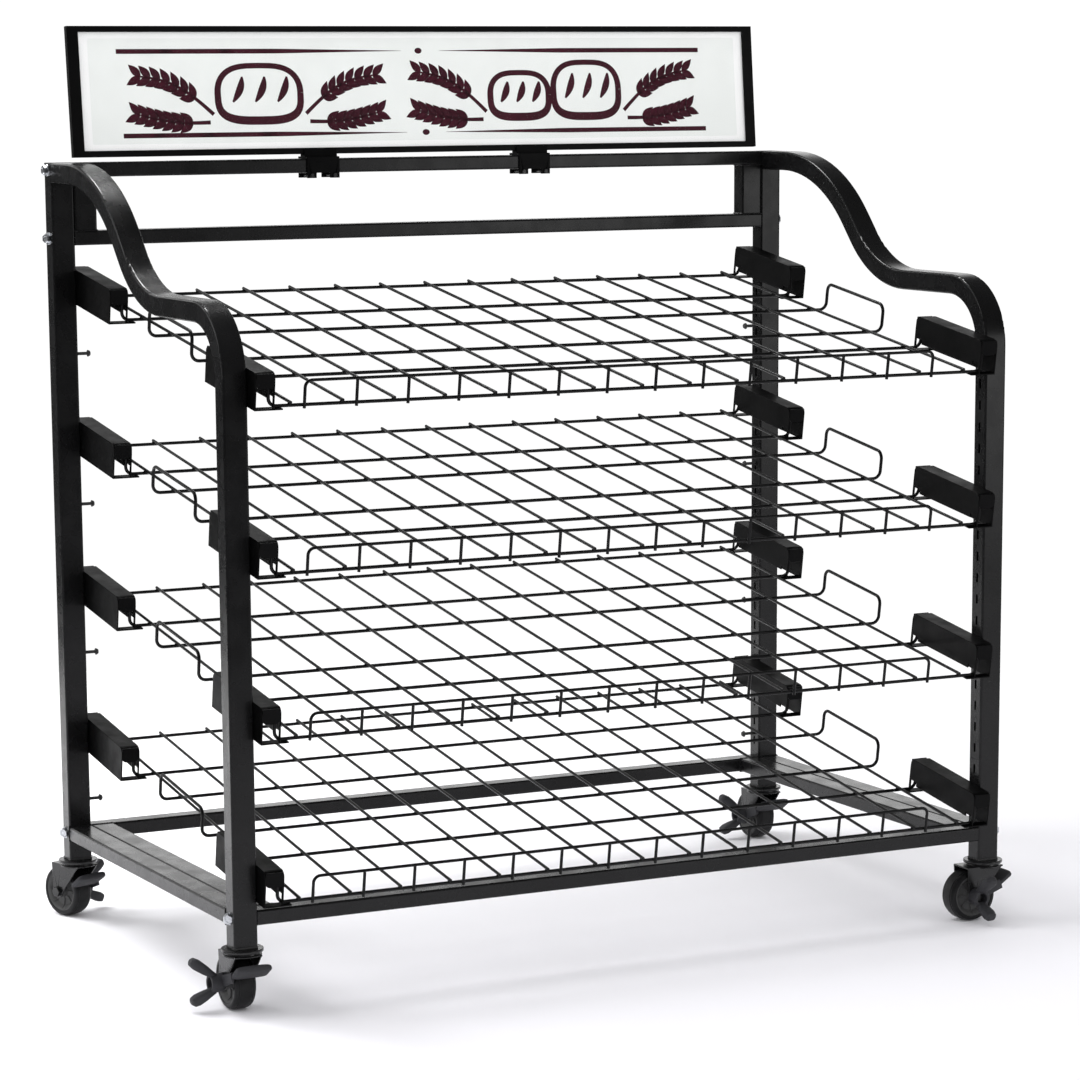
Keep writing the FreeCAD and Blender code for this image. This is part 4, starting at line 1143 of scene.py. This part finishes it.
@dataclass
class TubeFrame:
    """The tube frame with its welds, bolts, caps and pegs."""

    recipes: Recipes
    half_width: float = 0.635
    half_depth: float = 0.350
    post_width: float = 0.036
    post_depth: float = 0.030
    rail_height: float = 0.022
    top: float = 1.164
    header_drop: float = 0.102
    base: float = 0.125
    seam_step: float = 0.0017
    seam_scales: tuple[float, float] = (0.0013, 0.0018)
    seam_seed: int = 4
    bolt_flat: float = 0.0065
    bolt_height: float = 0.006
    bolt_dish: float = 0.0006
    bolt_turn: float = 0.35
    washer_bore: float = 0.0042
    washer_radius: float = 0.009
    washer_thick: float = 0.002
    tubes: tuple[str, ...] = (
        "left_side_tube", "right_side_tube", "left_rear_post", "right_rear_post",
        "left_bottom_rail", "right_bottom_rail", "base_left_rail", "base_right_rail",
        "base_front_rail", "base_rear_rail", "header_top_rail", "header_lower_rail",
        "header_uprights")
    fittings: tuple[tuple[str, Finish, float], ...] = (
        ("rail_end_nuts", Finish.ZINC, 0.0005), ("post_caps", Finish.BLACK_PLASTIC, 0.0012),
        ("hanging_pegs", Finish.BLACK_PLASTIC, 0.0007),
        ("caster_sockets", Finish.BLACK_PLASTIC, 0.0006), ("caster_stems", Finish.FORK, 0.0008))

    @property
    def post_y(self) -> float:
        """Distance of the posts' middles from the rack's."""
        return self.half_depth - self.post_depth / 2

    def ring(self, x: float, y: float, z: float, up: Vector) -> list[Vector]:
        """Outline of a tube's end, as wide as a post.

        Args:
            x: place of its middle along X.
            y: along Y.
            z: along Z.
            up: half of the tube's height.

        Returns:
            The outline's four corners.
        """
        wide = Vector((self.post_width / 2, 0, 0))
        return [Vector((x, y, z)) + wide * right + up * high
                for right, high in ((-1, -1), (1, -1), (1, 1), (-1, 1))]

    def seams(self) -> None:
        """The weld seams where tubes meet."""
        post_x = self.half_width - self.post_width / 2
        inner_y = self.half_depth - self.post_depth
        rail = Vector((0, 0, self.rail_height / 2))
        upright = Vector((0, self.post_depth / 2, 0))
        rings = [self.ring(side * (post_x - inset), end * inner_y, self.base + rail.z, rail)
                 for side in (1, -1) for end in (1, -1) for inset in (0, self.post_width)]
        rings += [self.ring(side * (post_x - self.post_width), self.post_y, z, upright)
                  for side in (1, -1)
                  for z in (self.top - self.rail_height, self.top - self.header_drop)]
        mesh = self.recipes.weld_seam.grow("seams", line_mesh("seam_lines", rings, True), {
            "Step": self.seam_step, "Smallest scale": self.seam_scales[0],
            "Largest scale": self.seam_scales[1], "Seed": self.seam_seed,
            "Finish": Finish.TUBE.material()})
        place_piece("tube_weld_seams", mesh, Finish.TUBE, RACK, crease=None)

    def bolt_head(self) -> bpy.types.Mesh:
        """A chamfered hexagon head with a dished top.

        Returns:
            Its mesh, standing on the origin.
        """
        across, corner = self.bolt_flat, self.bolt_flat / math.cos(math.pi / 6)
        top, floor = self.bolt_height, self.bolt_height - self.bolt_dish
        work = bmesh.new()
        lathe(work, [(0, 0), (across, 0), (corner, 0.0004), (corner, top - 0.0012), (across, top),
                     (0.0042, top), (0.0036, floor), (0, floor)], Matrix.Identity(4), 6)
        return finish_mesh(work, "bolt_head")

    def washer(self) -> bpy.types.Mesh:
        """A flat washer, its outer edge rounded above.

        Returns:
            Its mesh, lying at the origin.
        """
        bore, edge, top = self.washer_bore, self.washer_radius, self.washer_thick
        work = bmesh.new()
        lathe(work, rounded([(bore, 0.0, 0), (edge, 0.0, 0), (edge, top, 0.0007),
                             (bore, top, 0.0003)]), Matrix.Identity(4), 40)
        return finish_mesh(work, "bolt_washer")

    def bolts(self) -> None:
        """The frame bolts and their washers, on the outer sides of the posts."""
        header = self.top - self.rail_height / 2
        base = self.base + self.rail_height / 2
        levels = [(self.post_y, header), (self.post_y, header - self.header_drop),
                  (self.post_y, base), (-self.post_y, base)]
        for piece, node, part, out, crease in (
                ("frame_bolt_heads", "frame_bolts", self.bolt_head(), self.washer_thick, 20.0),
                ("frame_bolt_washers", "frame_washers", self.washer(), 0.0, 35.0)):
            places = [((side * (self.half_width + out), y, z),
                       (self.bolt_turn * number, side * math.pi / 2, 0))
                      for side in (1, -1) for number, (y, z) in enumerate(levels)]
            mesh = self.recipes.copy_part(piece, part, places, Finish.ZINC)
            place_piece(piece, mesh, Finish.ZINC, RACK, [node], crease)

    def build(self) -> None:
        """Dresses the tubes and makes the loose hardware."""
        for name in self.tubes:
            dress_node(name, Finish.TUBE)
        for name, finish, ease in self.fittings:
            dress_node(name, finish, ease)
        self.seams()
        self.bolts()


# ---------------------------------------------------------------- sign

@dataclass(frozen=True)
class Rule:
    """Two tapered rules with a dot between them, in metres on the sign."""

    level: float
    left: tuple[float, float]
    right: tuple[float, float]
    dot: float


@dataclass(frozen=True)
class Loaf:
    """A drawn loaf: its middle and its size."""

    x: float
    z: float
    wide: float
    high: float


@dataclass(frozen=True)
class Ear:
    """A drawn ear of grain: the foot of its stem, its tip and the rise of its middle."""

    foot: tuple[float, float]
    tip: tuple[float, float]
    rise: float

    def line(self, steps: int) -> list[tuple[float, float]]:
        """The line of its stem.

        Args:
            steps: how many pieces it has.

        Returns:
            The line's points, from the foot to the tip.
        """
        (x, z), (tip_x, tip_z) = self.foot, self.tip
        return [(x + (tip_x - x) * t, z + (tip_z - z) * t + self.rise * math.sin(math.pi * t))
                for t in (n / steps for n in range(steps + 1))]


@dataclass
class Sign:
    """The sign: mitred bars, a white sheet with a pale field, rules and a baker's motif."""

    recipes: Recipes
    width: float = 1.188
    height: float = 0.196
    depth: float = 0.010
    side_bar: float = 0.018
    end_bar: float = 0.009
    lip: float = 0.002
    lean: float = math.radians(5.5)
    foot: tuple[float, float, float] = (0.0, 0.335, 1.171)
    sheet_front: float = -0.00138
    sheet_tuck: float = 0.0038
    field_side: float = 0.015
    field_end: float = 0.0095
    field_corner: float = 0.004
    layer: float = 0.00003
    rule_width: float = 0.0072
    dot_size: tuple[float, float] = (0.0062, 0.0046)
    line_steps: int = 24
    crust: float = 0.0085
    crust_swell: float = 0.0045
    slash: float = 0.0120
    slash_steps: int = 8
    stem_width: float = 0.0062
    stem_taper: float = 0.0030
    stem_share: float = 0.28
    grain_length: float = 0.027
    grain_half: float = 0.0062
    grain_spread: float = 0.62
    grain_pairs: int = 7
    rules: tuple[Rule, ...] = (
        Rule(0.158, (-0.516, -0.041), (0.494, 0.026), -0.011),
        Rule(0.031, (-0.511, -0.037), (0.503, 0.031), -0.004))
    loaves: tuple[Loaf, ...] = (
        Loaf(-0.285, 0.094, 0.138, 0.084), Loaf(0.164, 0.088, 0.104, 0.070),
        Loaf(0.284, 0.096, 0.118, 0.086))
    ears: tuple[Ear, ...] = (
        Ear((-0.362, 0.062), (-0.478, 0.120), 0.014), Ear((-0.368, 0.050), (-0.482, 0.062), -0.005),
        Ear((-0.208, 0.062), (-0.092, 0.120), 0.014), Ear((-0.202, 0.050), (-0.088, 0.062), -0.005),
        Ear((0.104, 0.062), (-0.008, 0.124), 0.014), Ear((0.098, 0.050), (-0.012, 0.064), -0.005),
        Ear((0.352, 0.062), (0.462, 0.124), 0.014), Ear((0.358, 0.050), (0.466, 0.064), -0.005))

    @property
    def place(self) -> Matrix:
        """From the sign's own frame into the rack's."""
        return Matrix.Translation(self.foot) @ Matrix.Rotation(-self.lean, 4, "X")

    @property
    def ink_front(self) -> float:
        """Where the ink's front lies, a layer before the field's."""
        return self.sheet_front - 2 * self.layer

    def put(self, name: str, mesh: bpy.types.Mesh, finish: Finish,
            nodes: Sequence[str] = (), crease: Optional[float] = 35.0) -> None:
        """Places a mesh of the sign's own frame on the rack.

        Args:
            name: name of the piece.
            mesh: its mesh.
            finish: its finish.
            nodes: nodes that it stands for.
            crease: angle in degrees above which edges stay sharp, or None.
        """
        mesh.transform(self.place)
        place_piece(name, mesh, finish, RACK, nodes, crease)

    def bars(self) -> None:
        """The frame's four mitred bars with a rounded front and a step behind it."""
        back = self.depth / 2
        profile = rounded([(0.0, -back, 0.0016), (1.0, -back, 0.0), (1.0, self.lip - back, 0.0),
                           (0.76, self.lip - back, 0.0), (0.76, back, 0.0), (0.0, back, 0.0012)], 4)
        work = bmesh.new()
        rings = []
        for inward, y in profile:
            x = self.width / 2 - inward * self.side_bar
            low, high = inward * self.end_bar, self.height - inward * self.end_bar
            rings.append([work.verts.new(corner) for corner in
                          ((-x, y, low), (x, y, low), (x, y, high), (-x, y, high))])
        for low, high in zip(rings, rings[1:] + rings[:1]):
            for n in range(4):
                m = (n + 1) % 4
                work.faces.new((low[n], low[m], high[m], high[n]))
        self.put("sign_bars", finish_mesh(work, "sign_bars"), Finish.SIGN_BAR,
                 ["sign_frame"])

    def panel(self, name: str, side: float, end: float, corner: float, front: float,
              thick: float) -> bpy.types.Mesh:
        """A panel in the opening between the bars.

        Args:
            name: name of the mesh.
            side: gap to the side bars, below 0 where it is tucked behind them.
            end: gap to the upper and the lower bar.
            corner: radius of its corners.
            front: its front face along Y.
            thick: its thickness.

        Returns:
            The panel's mesh.
        """
        x, low = self.width / 2 - self.side_bar - side, self.end_bar + end
        high = self.height - low
        work = bmesh.new()
        flat(work, rounded([(-x, low, corner), (x, low, corner), (x, high, corner),
                            (-x, high, corner)]), front, thick)
        return finish_mesh(work, name)

    def sheets(self) -> None:
        """The white sheet and the pale field printed on it."""
        sheet = self.panel("sign_sheet", -self.sheet_tuck, -self.sheet_tuck, 0.0,
                           self.sheet_front, -self.sheet_front)
        self.put("sign_sheet", sheet, Finish.PAPER, ["sign_panel"])
        field = self.panel("sign_field", self.field_side, self.field_end, self.field_corner,
                           self.sheet_front - self.layer, self.layer)
        self.put("sign_field", field, Finish.FIELD)

    def ribbon(self, work: bmesh.types.BMesh, points: Sequence[tuple[float, float]],
               widths: Sequence[float]) -> None:
        """Adds a printed stroke.

        Args:
            work: mesh that takes the faces.
            points: the stroke's line.
            widths: its width at each point.
        """
        left, right = [], []
        for index, (x, z) in enumerate(points):
            before = Vector(points[max(index - 1, 0)])
            after = Vector(points[min(index + 1, len(points) - 1)])
            along = (after - before).normalized()
            side = Vector((-along.y, along.x)) * widths[index] / 2
            left.append((x + side.x, z + side.y))
            right.append((x - side.x, z - side.y))
        for n in range(len(points) - 1):
            flat(work, [left[n], left[n + 1], right[n + 1], right[n]], self.ink_front, self.layer)

    def draw_rules(self) -> None:
        """The tapered rules and the dots between them."""
        steps = self.line_steps
        wide, high = self.dot_size
        work = bmesh.new()
        for rule in self.rules:
            for outer, inner in (rule.left, rule.right):
                points = [(outer + (inner - outer) * n / steps, rule.level) for n in range(steps + 1)]
                widths = [self.rule_width * min(1.0, 0.06 + 2.1 * (1 - n / steps))
                          for n in range(steps + 1)]
                self.ribbon(work, points, widths)
            flat(work, [(rule.dot + wide * math.cos(angle), rule.level + high * math.sin(angle))
                        for angle in (math.tau * n / steps for n in range(steps))],
                 self.ink_front, self.layer)
        self.put("sign_rules", finish_mesh(work, "sign_rules"), Finish.INK)

    def draw_loaf(self, work: bmesh.types.BMesh, loaf: Loaf) -> None:
        """Adds a loaf in strokes: its crust, heavier below, and three slashes.

        Args:
            work: mesh that takes the faces.
            loaf: the loaf to draw.
        """
        steps = 2 * self.line_steps
        outline, widths = [], []
        for n in range(steps + 1):
            angle = math.tau * n / steps
            cosine, sine = math.cos(angle), math.sin(angle)
            square = 0.55 if sine < 0 else 0.9
            outline.append((loaf.x + loaf.wide / 2 * math.copysign(abs(cosine) ** 0.62, cosine),
                            loaf.z + loaf.high / 2 * math.copysign(abs(sine) ** square, sine)))
            widths.append(self.crust + self.crust_swell * (1 - sine) / 2)
        self.ribbon(work, outline, widths)
        shares = [n / self.slash_steps for n in range(self.slash_steps + 1)]
        for shift in (-0.27, 0.0, 0.27):
            points = [(loaf.x + loaf.wide * (shift - 0.05 + 0.12 * t + 0.03 * math.sin(math.pi * t)),
                       loaf.z + loaf.high * (-0.16 + 0.46 * t)) for t in shares]
            self.ribbon(work, points, [self.slash * math.sin(math.pi * (0.08 + 0.84 * t))
                                       for t in shares])

    def grain(self) -> bpy.types.Mesh:
        """One flat grain, pointing along X.

        Returns:
            Its mesh, with its foot at the origin.
        """
        outline = [(self.grain_length * t, self.grain_half * math.sin(math.pi * t ** 0.8))
                   for t in (n / 8 for n in range(9))]
        outline += [(x, -z) for x, z in reversed(outline[1:-1])]
        work = bmesh.new()
        flat(work, outline, 0.0, self.layer)
        return finish_mesh(work, "grain")

    def draw_motif(self) -> None:
        """Two groups of ears and loaves in the rules' colour."""
        steps = self.line_steps
        work = bmesh.new()
        grown = []
        for ear in self.ears:
            line = ear.line(steps)
            self.ribbon(work, line, [self.stem_width - self.stem_taper * n / steps
                                     for n in range(steps + 1)])
            grown.append([(x, self.ink_front, z) for x, z in line[int(steps * self.stem_share):]])
        for loaf in self.loaves:
            self.draw_loaf(work, loaf)
        master = bpy.data.objects.new("grain_master", self.grain())
        work.from_mesh(self.recipes.grain_ear.grow(
            "ears", line_mesh("ear_lines", grown, False),
            {"Grain": master, "Pairs": self.grain_pairs, "Spread": self.grain_spread,
             "Finish": Finish.INK.material()}))
        bpy.data.objects.remove(master)
        self.put("sign_motif", plain_mesh(work, "sign_motif"), Finish.INK,
                 crease=None)

    def build(self) -> None:
        """Makes the sign and dresses its clips, backing and cover."""
        self.bars()
        self.sheets()
        self.draw_rules()
        self.draw_motif()
        dress_node("sign_back", Finish.BACKING)
        dress_node("sign_cover", Finish.COVER)
        dress_node("sign_clips", Finish.BRACKET, 0.0008)
        dress_node("clip_screws", Finish.FORK, 0.0006)


# ---------------------------------------------------------------- casters

class Corner(Enum):
    """The four casters: place of the swivel axis, heading in degrees and the lever's hand."""

    FRONT_LEFT = (-0.617, -0.335, -90.0, 1)
    FRONT_RIGHT = (0.617, -0.335, 0.0, 1)
    REAR_LEFT = (-0.617, 0.335, -70.0, -1)
    REAR_RIGHT = (0.617, 0.335, -90.0, 1)


@dataclass(frozen=True)
class Paddle:
    """A moulded paddle: its rise in degrees, its length and its stations.

    Each station is a share of the length with the width and the thickness there.
    """

    rise: float
    length: float
    stations: tuple[tuple[float, float, float], ...]

    def add(self, work: bmesh.types.BMesh, place: Matrix, root: Vector, level: Vector,
            across: Vector) -> None:
        """Adds the paddle.

        Args:
            work: mesh that takes the faces.
            place: from the paddle's frame into the mesh's.
            root: middle of its root.
            level: its direction where the rise is 0.
            across: direction of its width.
        """
        along = self.direction(level)
        up = along.cross(across)
        loft(work, [(root + along * self.length * t, across * wide / 2, up * thick / 2)
                    for t, wide, thick in self.stations], place, 3.6)

    def direction(self, level: Vector) -> Vector:
        """The level direction turned up by the paddle's rise."""
        angle = math.radians(self.rise)
        return level * math.cos(angle) + Vector((0, 0, math.sin(angle)))


WING = ((0.0, 0.0130, 0.0095), (0.15, 0.0150, 0.0105), (0.45, 0.0176, 0.0140),
        (0.75, 0.0182, 0.0158), (0.93, 0.0160, 0.0128), (1.0, 0.0100, 0.0060))


@dataclass
class Caster:
    """A swivel caster with a moulded wheel and a brake lever."""

    corner: Corner
    recipes: Recipes
    radius: float = 0.040
    trail: float = 0.026
    tyre_half: float = 0.016
    tyre_thick: float = 0.008
    bore: float = 0.0041
    boss_half: float = 0.0175
    ribs: int = 8
    rib_size: tuple[float, float] = (0.0011, 0.0017)
    lever_in: float = 0.021
    lever_cheek: float = 0.004
    collar_radius: float = 0.0135
    collar_bore: float = 0.0085
    collar_depth: float = 0.019
    arm: Paddle = Paddle(20, 0.0475, ((0.0, 0.0175, 0.0039), (0.25, 0.0170, 0.0039),
                                      (0.6, 0.0155, 0.0039), (1.0, 0.0150, 0.0039)))
    pedal: Paddle = Paddle(36, 0.0273, (
        (0.0, 0.050, 0.0070), (0.08, 0.0535, 0.0092), (0.5, 0.0548, 0.0096),
        (0.84, 0.0540, 0.0112), (0.95, 0.0500, 0.0092), (1.0, 0.0440, 0.0050)))
    pedal_reach: float = 0.0455
    pedal_half: float = 0.0275
    upper_wing: Paddle = Paddle(36, 0.0436, WING)
    lower_wing: Paddle = Paddle(-24, 0.0378, WING)
    wing_inset: float = 0.007
    wing_apart: float = 0.010

    @property
    def tag(self) -> str:
        """The caster's name."""
        return self.corner.name.lower()

    @property
    def place(self) -> Matrix:
        """From the caster's own frame into the rack's."""
        x, y, heading, hand = self.corner.value
        turn = Matrix.Rotation(math.radians(heading), 4, "Z")
        return Matrix.Translation((x, y, 0)) @ turn @ Matrix.Diagonal((1, hand, 1, 1))

    @property
    def hub(self) -> Matrix:
        """The wheel's frame, its axis along Z from the lever's side to the nut's."""
        return (self.place @ Matrix.Translation((-self.trail, 0, self.radius))
                @ Matrix.Rotation(math.radians(-90), 4, "X"))

    def spokes(self) -> bpy.types.Mesh:
        """The ribs on both faces of the wheel's web.

        Returns:
            Their mesh, in the wheel's own frame.
        """
        wide, high = Vector((0, self.rib_size[0], 0)), Vector((0, 0, self.rib_size[1]))
        rib = bmesh.new()
        for face in (1, -1):
            loft(rib, [(Vector((r, 0, face * z)), wide, high) for r, z in
                       ((0.0095, 0.0082), (0.014, 0.0068), (0.023, 0.0078), (0.0275, 0.0128))],
                 Matrix.Identity(4), 3.0, 10)
        places = [((0, 0, 0), (0, 0, math.tau * n / self.ribs)) for n in range(self.ribs)]
        return self.recipes.copy_part("ribs", finish_mesh(rib, "rib"), places, Finish.WHEEL)

    def wheel(self) -> None:
        """The moulded wheel: a rim, a dished web with ribs and a boss."""
        rim, half, boss = self.radius - self.tyre_thick, self.tyre_half, self.boss_half
        side = [(self.bore, boss, 0.0), (0.0085, boss, 0.0008), (0.0098, 0.0085, 0.002),
                (0.0135, 0.0068, 0.002), (0.0235, 0.0078, 0.002), (0.0272, 0.0128, 0.0015),
                (rim - 0.0012, half - 0.0006, 0.0008), (rim, half - 0.0012, 0.0)]
        profile = rounded([(r, -z, corner) for r, z, corner in side] + list(reversed(side)))
        work = bmesh.new()
        lathe(work, profile, self.hub, 64)
        spokes = self.spokes()
        spokes.transform(self.hub)
        work.from_mesh(spokes)
        place_piece(f"{self.tag}_wheel_moulding", finish_mesh(work, "wheel"), Finish.WHEEL,
                    f"{self.tag}_wheel", [f"{self.tag}_wheel"])

    def tyre(self) -> None:
        """The tyre: a crowned tread with shallow grooves beside it."""
        half, top, inner = self.tyre_half, self.radius, self.radius - self.tyre_thick
        edge = [(inner, half - 0.0002, 0.0), (inner + 0.0024, half, 0.0006),
                (top - 0.0026, half - 0.0008, 0.0022), (top - 0.0007, half - 0.0052, 0.001),
                (top - 0.0011, half - 0.0060, 0.0003), (top - 0.0011, half - 0.0066, 0.0003),
                (top - 0.0002, half - 0.0074, 0.0006)]
        profile = rounded(edge + [(top, 0.0, 0.0)]
                          + [(r, -z, corner) for r, z, corner in reversed(edge)])
        work = bmesh.new()
        lathe(work, profile, self.hub, 96)
        place_piece(f"{self.tag}_tyre_tread", finish_mesh(work, "tyre"), Finish.TYRE,
                    f"{self.tag}_wheel", [f"{self.tag}_tyre"])

    def collar(self, work: bmesh.types.BMesh) -> None:
        """Adds the lever's collar, a cup on the end of the axle.

        Args:
            work: mesh that takes the faces.
        """
        inside, outside = -self.lever_in, -(self.lever_in + self.collar_depth)
        bottom = inside - self.lever_cheek
        lathe(work, rounded([
            (self.bore, inside, 0.0), (self.collar_radius, inside, 0.0008),
            (self.collar_radius, outside, 0.0016), (self.collar_bore, outside, 0.0010),
            (self.collar_bore, bottom, 0.0008), (self.bore, bottom, 0.0)]), self.hub, 48)

    def lever(self) -> None:
        """The brake lever: a collar on the axle, an arm, a pedal and two side wings."""
        work = bmesh.new()
        self.collar(work)
        axle = Vector((-self.trail, 0, self.radius))
        ahead, left, right = Vector((1, 0, 0)), Vector((0, 1, 0)), Vector((0, -1, 0))
        forward = self.arm.direction(ahead)
        cheek = right * (self.lever_in + self.lever_cheek / 2)
        self.arm.add(work, self.place, axle + cheek, ahead, Vector((-forward.z, 0, forward.x)))
        middle = right * (self.lever_in + self.lever_cheek - self.pedal_half)
        self.pedal.add(work, self.place, axle + forward * self.pedal_reach + middle, ahead, left)
        root = right * (self.lever_in + self.collar_depth - self.wing_inset)
        for wing, above in ((self.upper_wing, 1), (self.lower_wing, -1)):
            wing.add(work, self.place, axle + root + Vector((0, 0, above * self.wing_apart)),
                     right, ahead)
        place_piece(f"{self.tag}_lever_moulding", finish_mesh(work, "lever"), Finish.LEVER,
                    f"{self.tag}_lever", [f"{self.tag}_brake_lever"])

    def build(self) -> None:
        """Makes the moulded pieces and dresses the fork and the axle."""
        dress_node(f"{self.tag}_fork", Finish.FORK, 0.0007)
        dress_node(f"{self.tag}_axle", Finish.FORK, 0.0006)
        self.wheel()
        self.tyre()
        self.lever()


# ---------------------------------------------------------------- studio

@dataclass(frozen=True)
class Lamp:
    """A square soft light, with the surfaces that it reaches."""

    name: str
    place: Point
    aim: Point
    size: float
    power: float
    on_matt: bool = True
    on_gloss: bool = True

    def hang(self) -> None:
        """Adds the light."""
        light = bpy.data.lights.new(self.name, "AREA")
        light.size = self.size
        light.energy = self.power
        lamp = bpy.data.objects.new(self.name, light)
        lamp.location = self.place
        facing = Vector(self.aim) - Vector(self.place)
        lamp.rotation_euler = facing.to_track_quat("-Z", "Y").to_euler()
        lamp.visible_diffuse = self.on_matt
        lamp.visible_glossy = self.on_gloss
        bpy.context.scene.collection.objects.link(lamp)


@dataclass
class Studio:
    """Floor, light and camera."""

    eye: tuple[float, float, float] = (-2.4974, -4.9675, 1.2933)
    yaw: float = 0.4692
    pitch: float = -0.1749
    roll: float = -0.0057
    lens: float = 122.12
    sensor: float = 36.0
    shift: float = 0.1667
    far: float = 100.0
    floor_size: float = 5.2
    surround: float = 1.04
    ambient: float = 1.0
    reflected: float = 0.06
    glow: float = 1.6
    glow_band: tuple[tuple[str, float, float], ...] = (("Y", 0.1, 0.7), ("Z", 0.5, 0.25),
                                                       ("Z", 0.05, 0.12))
    lamps: tuple[Lamp, ...] = (
        Lamp("left_key", (-3.6, 1.2, 2.6), (0, 0, 0.6), 2.2, 24.0),
        Lamp("overhead", (-1.2, 0.6, 3.3), (0, 0, 0.6), 1.4, 42.0, on_gloss=False),
        Lamp("edge_strip", (-0.3, 1.5, 3.4), (0, 0, 0.6), 1.0, 70.0, on_matt=False),
        Lamp("floor_pool", (-1.5, 1.4, 1.5), (-1.5, 1.4, 0.0), 0.8, 31.0, on_gloss=False),
        Lamp("front_fill", (3.2, -4.6, 1.0), (0.6, -0.3, 0.6), 2.0, 26.0))

    def floor(self) -> None:
        """A wide pale floor."""
        half = self.floor_size / 2
        mesh = bpy.data.meshes.new("studio_floor")
        mesh.from_pydata([(-half, -half, 0), (half, -half, 0), (half, half, 0), (-half, half, 0)],
                         [], [(0, 1, 2, 3)])
        mesh.materials.append(Finish.FLOOR.material())
        plane = bpy.data.objects.new("studio_floor", mesh)
        bpy.context.scene.collection.objects.link(plane)

    def surroundings(self) -> None:
        """A white world; gloss finds it dark but for a low bright band behind the rack."""
        world = bpy.data.worlds.new("studio")
        world.use_nodes = True
        tree = world.node_tree
        sky = tree.nodes["Background"]
        sky.inputs["Color"].default_value = (1.0, 1.0, 1.0, 1.0)
        axis = tree.nodes.new("ShaderNodeSeparateXYZ")
        direction = tree.nodes.new("ShaderNodeTexCoord").outputs["Generated"]
        tree.links.new(direction, axis.inputs["Vector"])
        band = None
        for name, start, end in self.glow_band:
            edge = map_range(tree, axis.outputs[name], start, end, 0.0, 1.0)
            if band is None:
                band = edge
                continue
            both = tree.nodes.new("ShaderNodeMath")
            both.operation = "MULTIPLY"
            tree.links.new(band, both.inputs[0])
            tree.links.new(edge, both.inputs[1])
            band = both.outputs["Value"]
        path = tree.nodes.new("ShaderNodeLightPath")
        on_gloss = map_range(tree, band, 0.0, 1.0, self.reflected, self.glow)
        direct = map_range(tree, path.outputs["Is Camera Ray"], 0.0, 1.0, self.ambient,
                           self.surround)
        strength = map_range(tree, path.outputs["Is Glossy Ray"], 0.0, 1.0, direct, on_gloss)
        tree.links.new(strength, sky.inputs["Strength"])
        bpy.context.scene.world = world

    def camera(self) -> None:
        """The camera at the front left, a little above the rack's middle."""
        cos, sin = math.cos, math.sin
        ahead = Vector((sin(self.yaw) * cos(self.pitch), cos(self.yaw) * cos(self.pitch),
                        sin(self.pitch)))
        right = Vector((cos(self.yaw), -sin(self.yaw), 0))
        up = right.cross(ahead)
        level_right = right * cos(self.roll) + up * sin(self.roll)
        level_up = up * cos(self.roll) - right * sin(self.roll)
        data = bpy.data.cameras.new("view")
        data.lens = self.lens
        data.sensor_width = self.sensor
        data.shift_y = self.shift
        data.clip_end = self.far
        camera = bpy.data.objects.new("view", data)
        turn = Matrix((level_right, level_up, -ahead)).transposed().to_4x4()
        camera.matrix_world = Matrix.Translation(self.eye) @ turn
        bpy.context.scene.collection.objects.link(camera)
        bpy.context.scene.camera = camera

    def build(self) -> None:
        """Sets the stage."""
        bpy.context.scene.view_settings.view_transform = "Standard"
        self.floor()
        self.surroundings()
        for lamp in self.lamps:
            lamp.hang()
        self.camera()


def main() -> None:
    """Builds every sub-assembly in order."""
    logging.basicConfig(level=logging.INFO, format="%(name)s %(message)s")
    recipes = Recipes(bent_wire_recipe(), wire_row_recipe(), weld_seam_recipe(),
                      parts_on_points_recipe(), grain_ear_recipe())
    shelves = [Shelf(number + 1, TOP_SHELF - SHELF_PITCH * number, recipes)
               for number in range(SHELVES)]
    for shelf in shelves:
        shelf.build()
    Brackets(recipes, shelves).build()
    TubeFrame(recipes).build()
    Sign(recipes).build()
    for corner in Corner:
        Caster(corner, recipes).build()
    Studio().build()


if __name__ == "__main__":
    main()
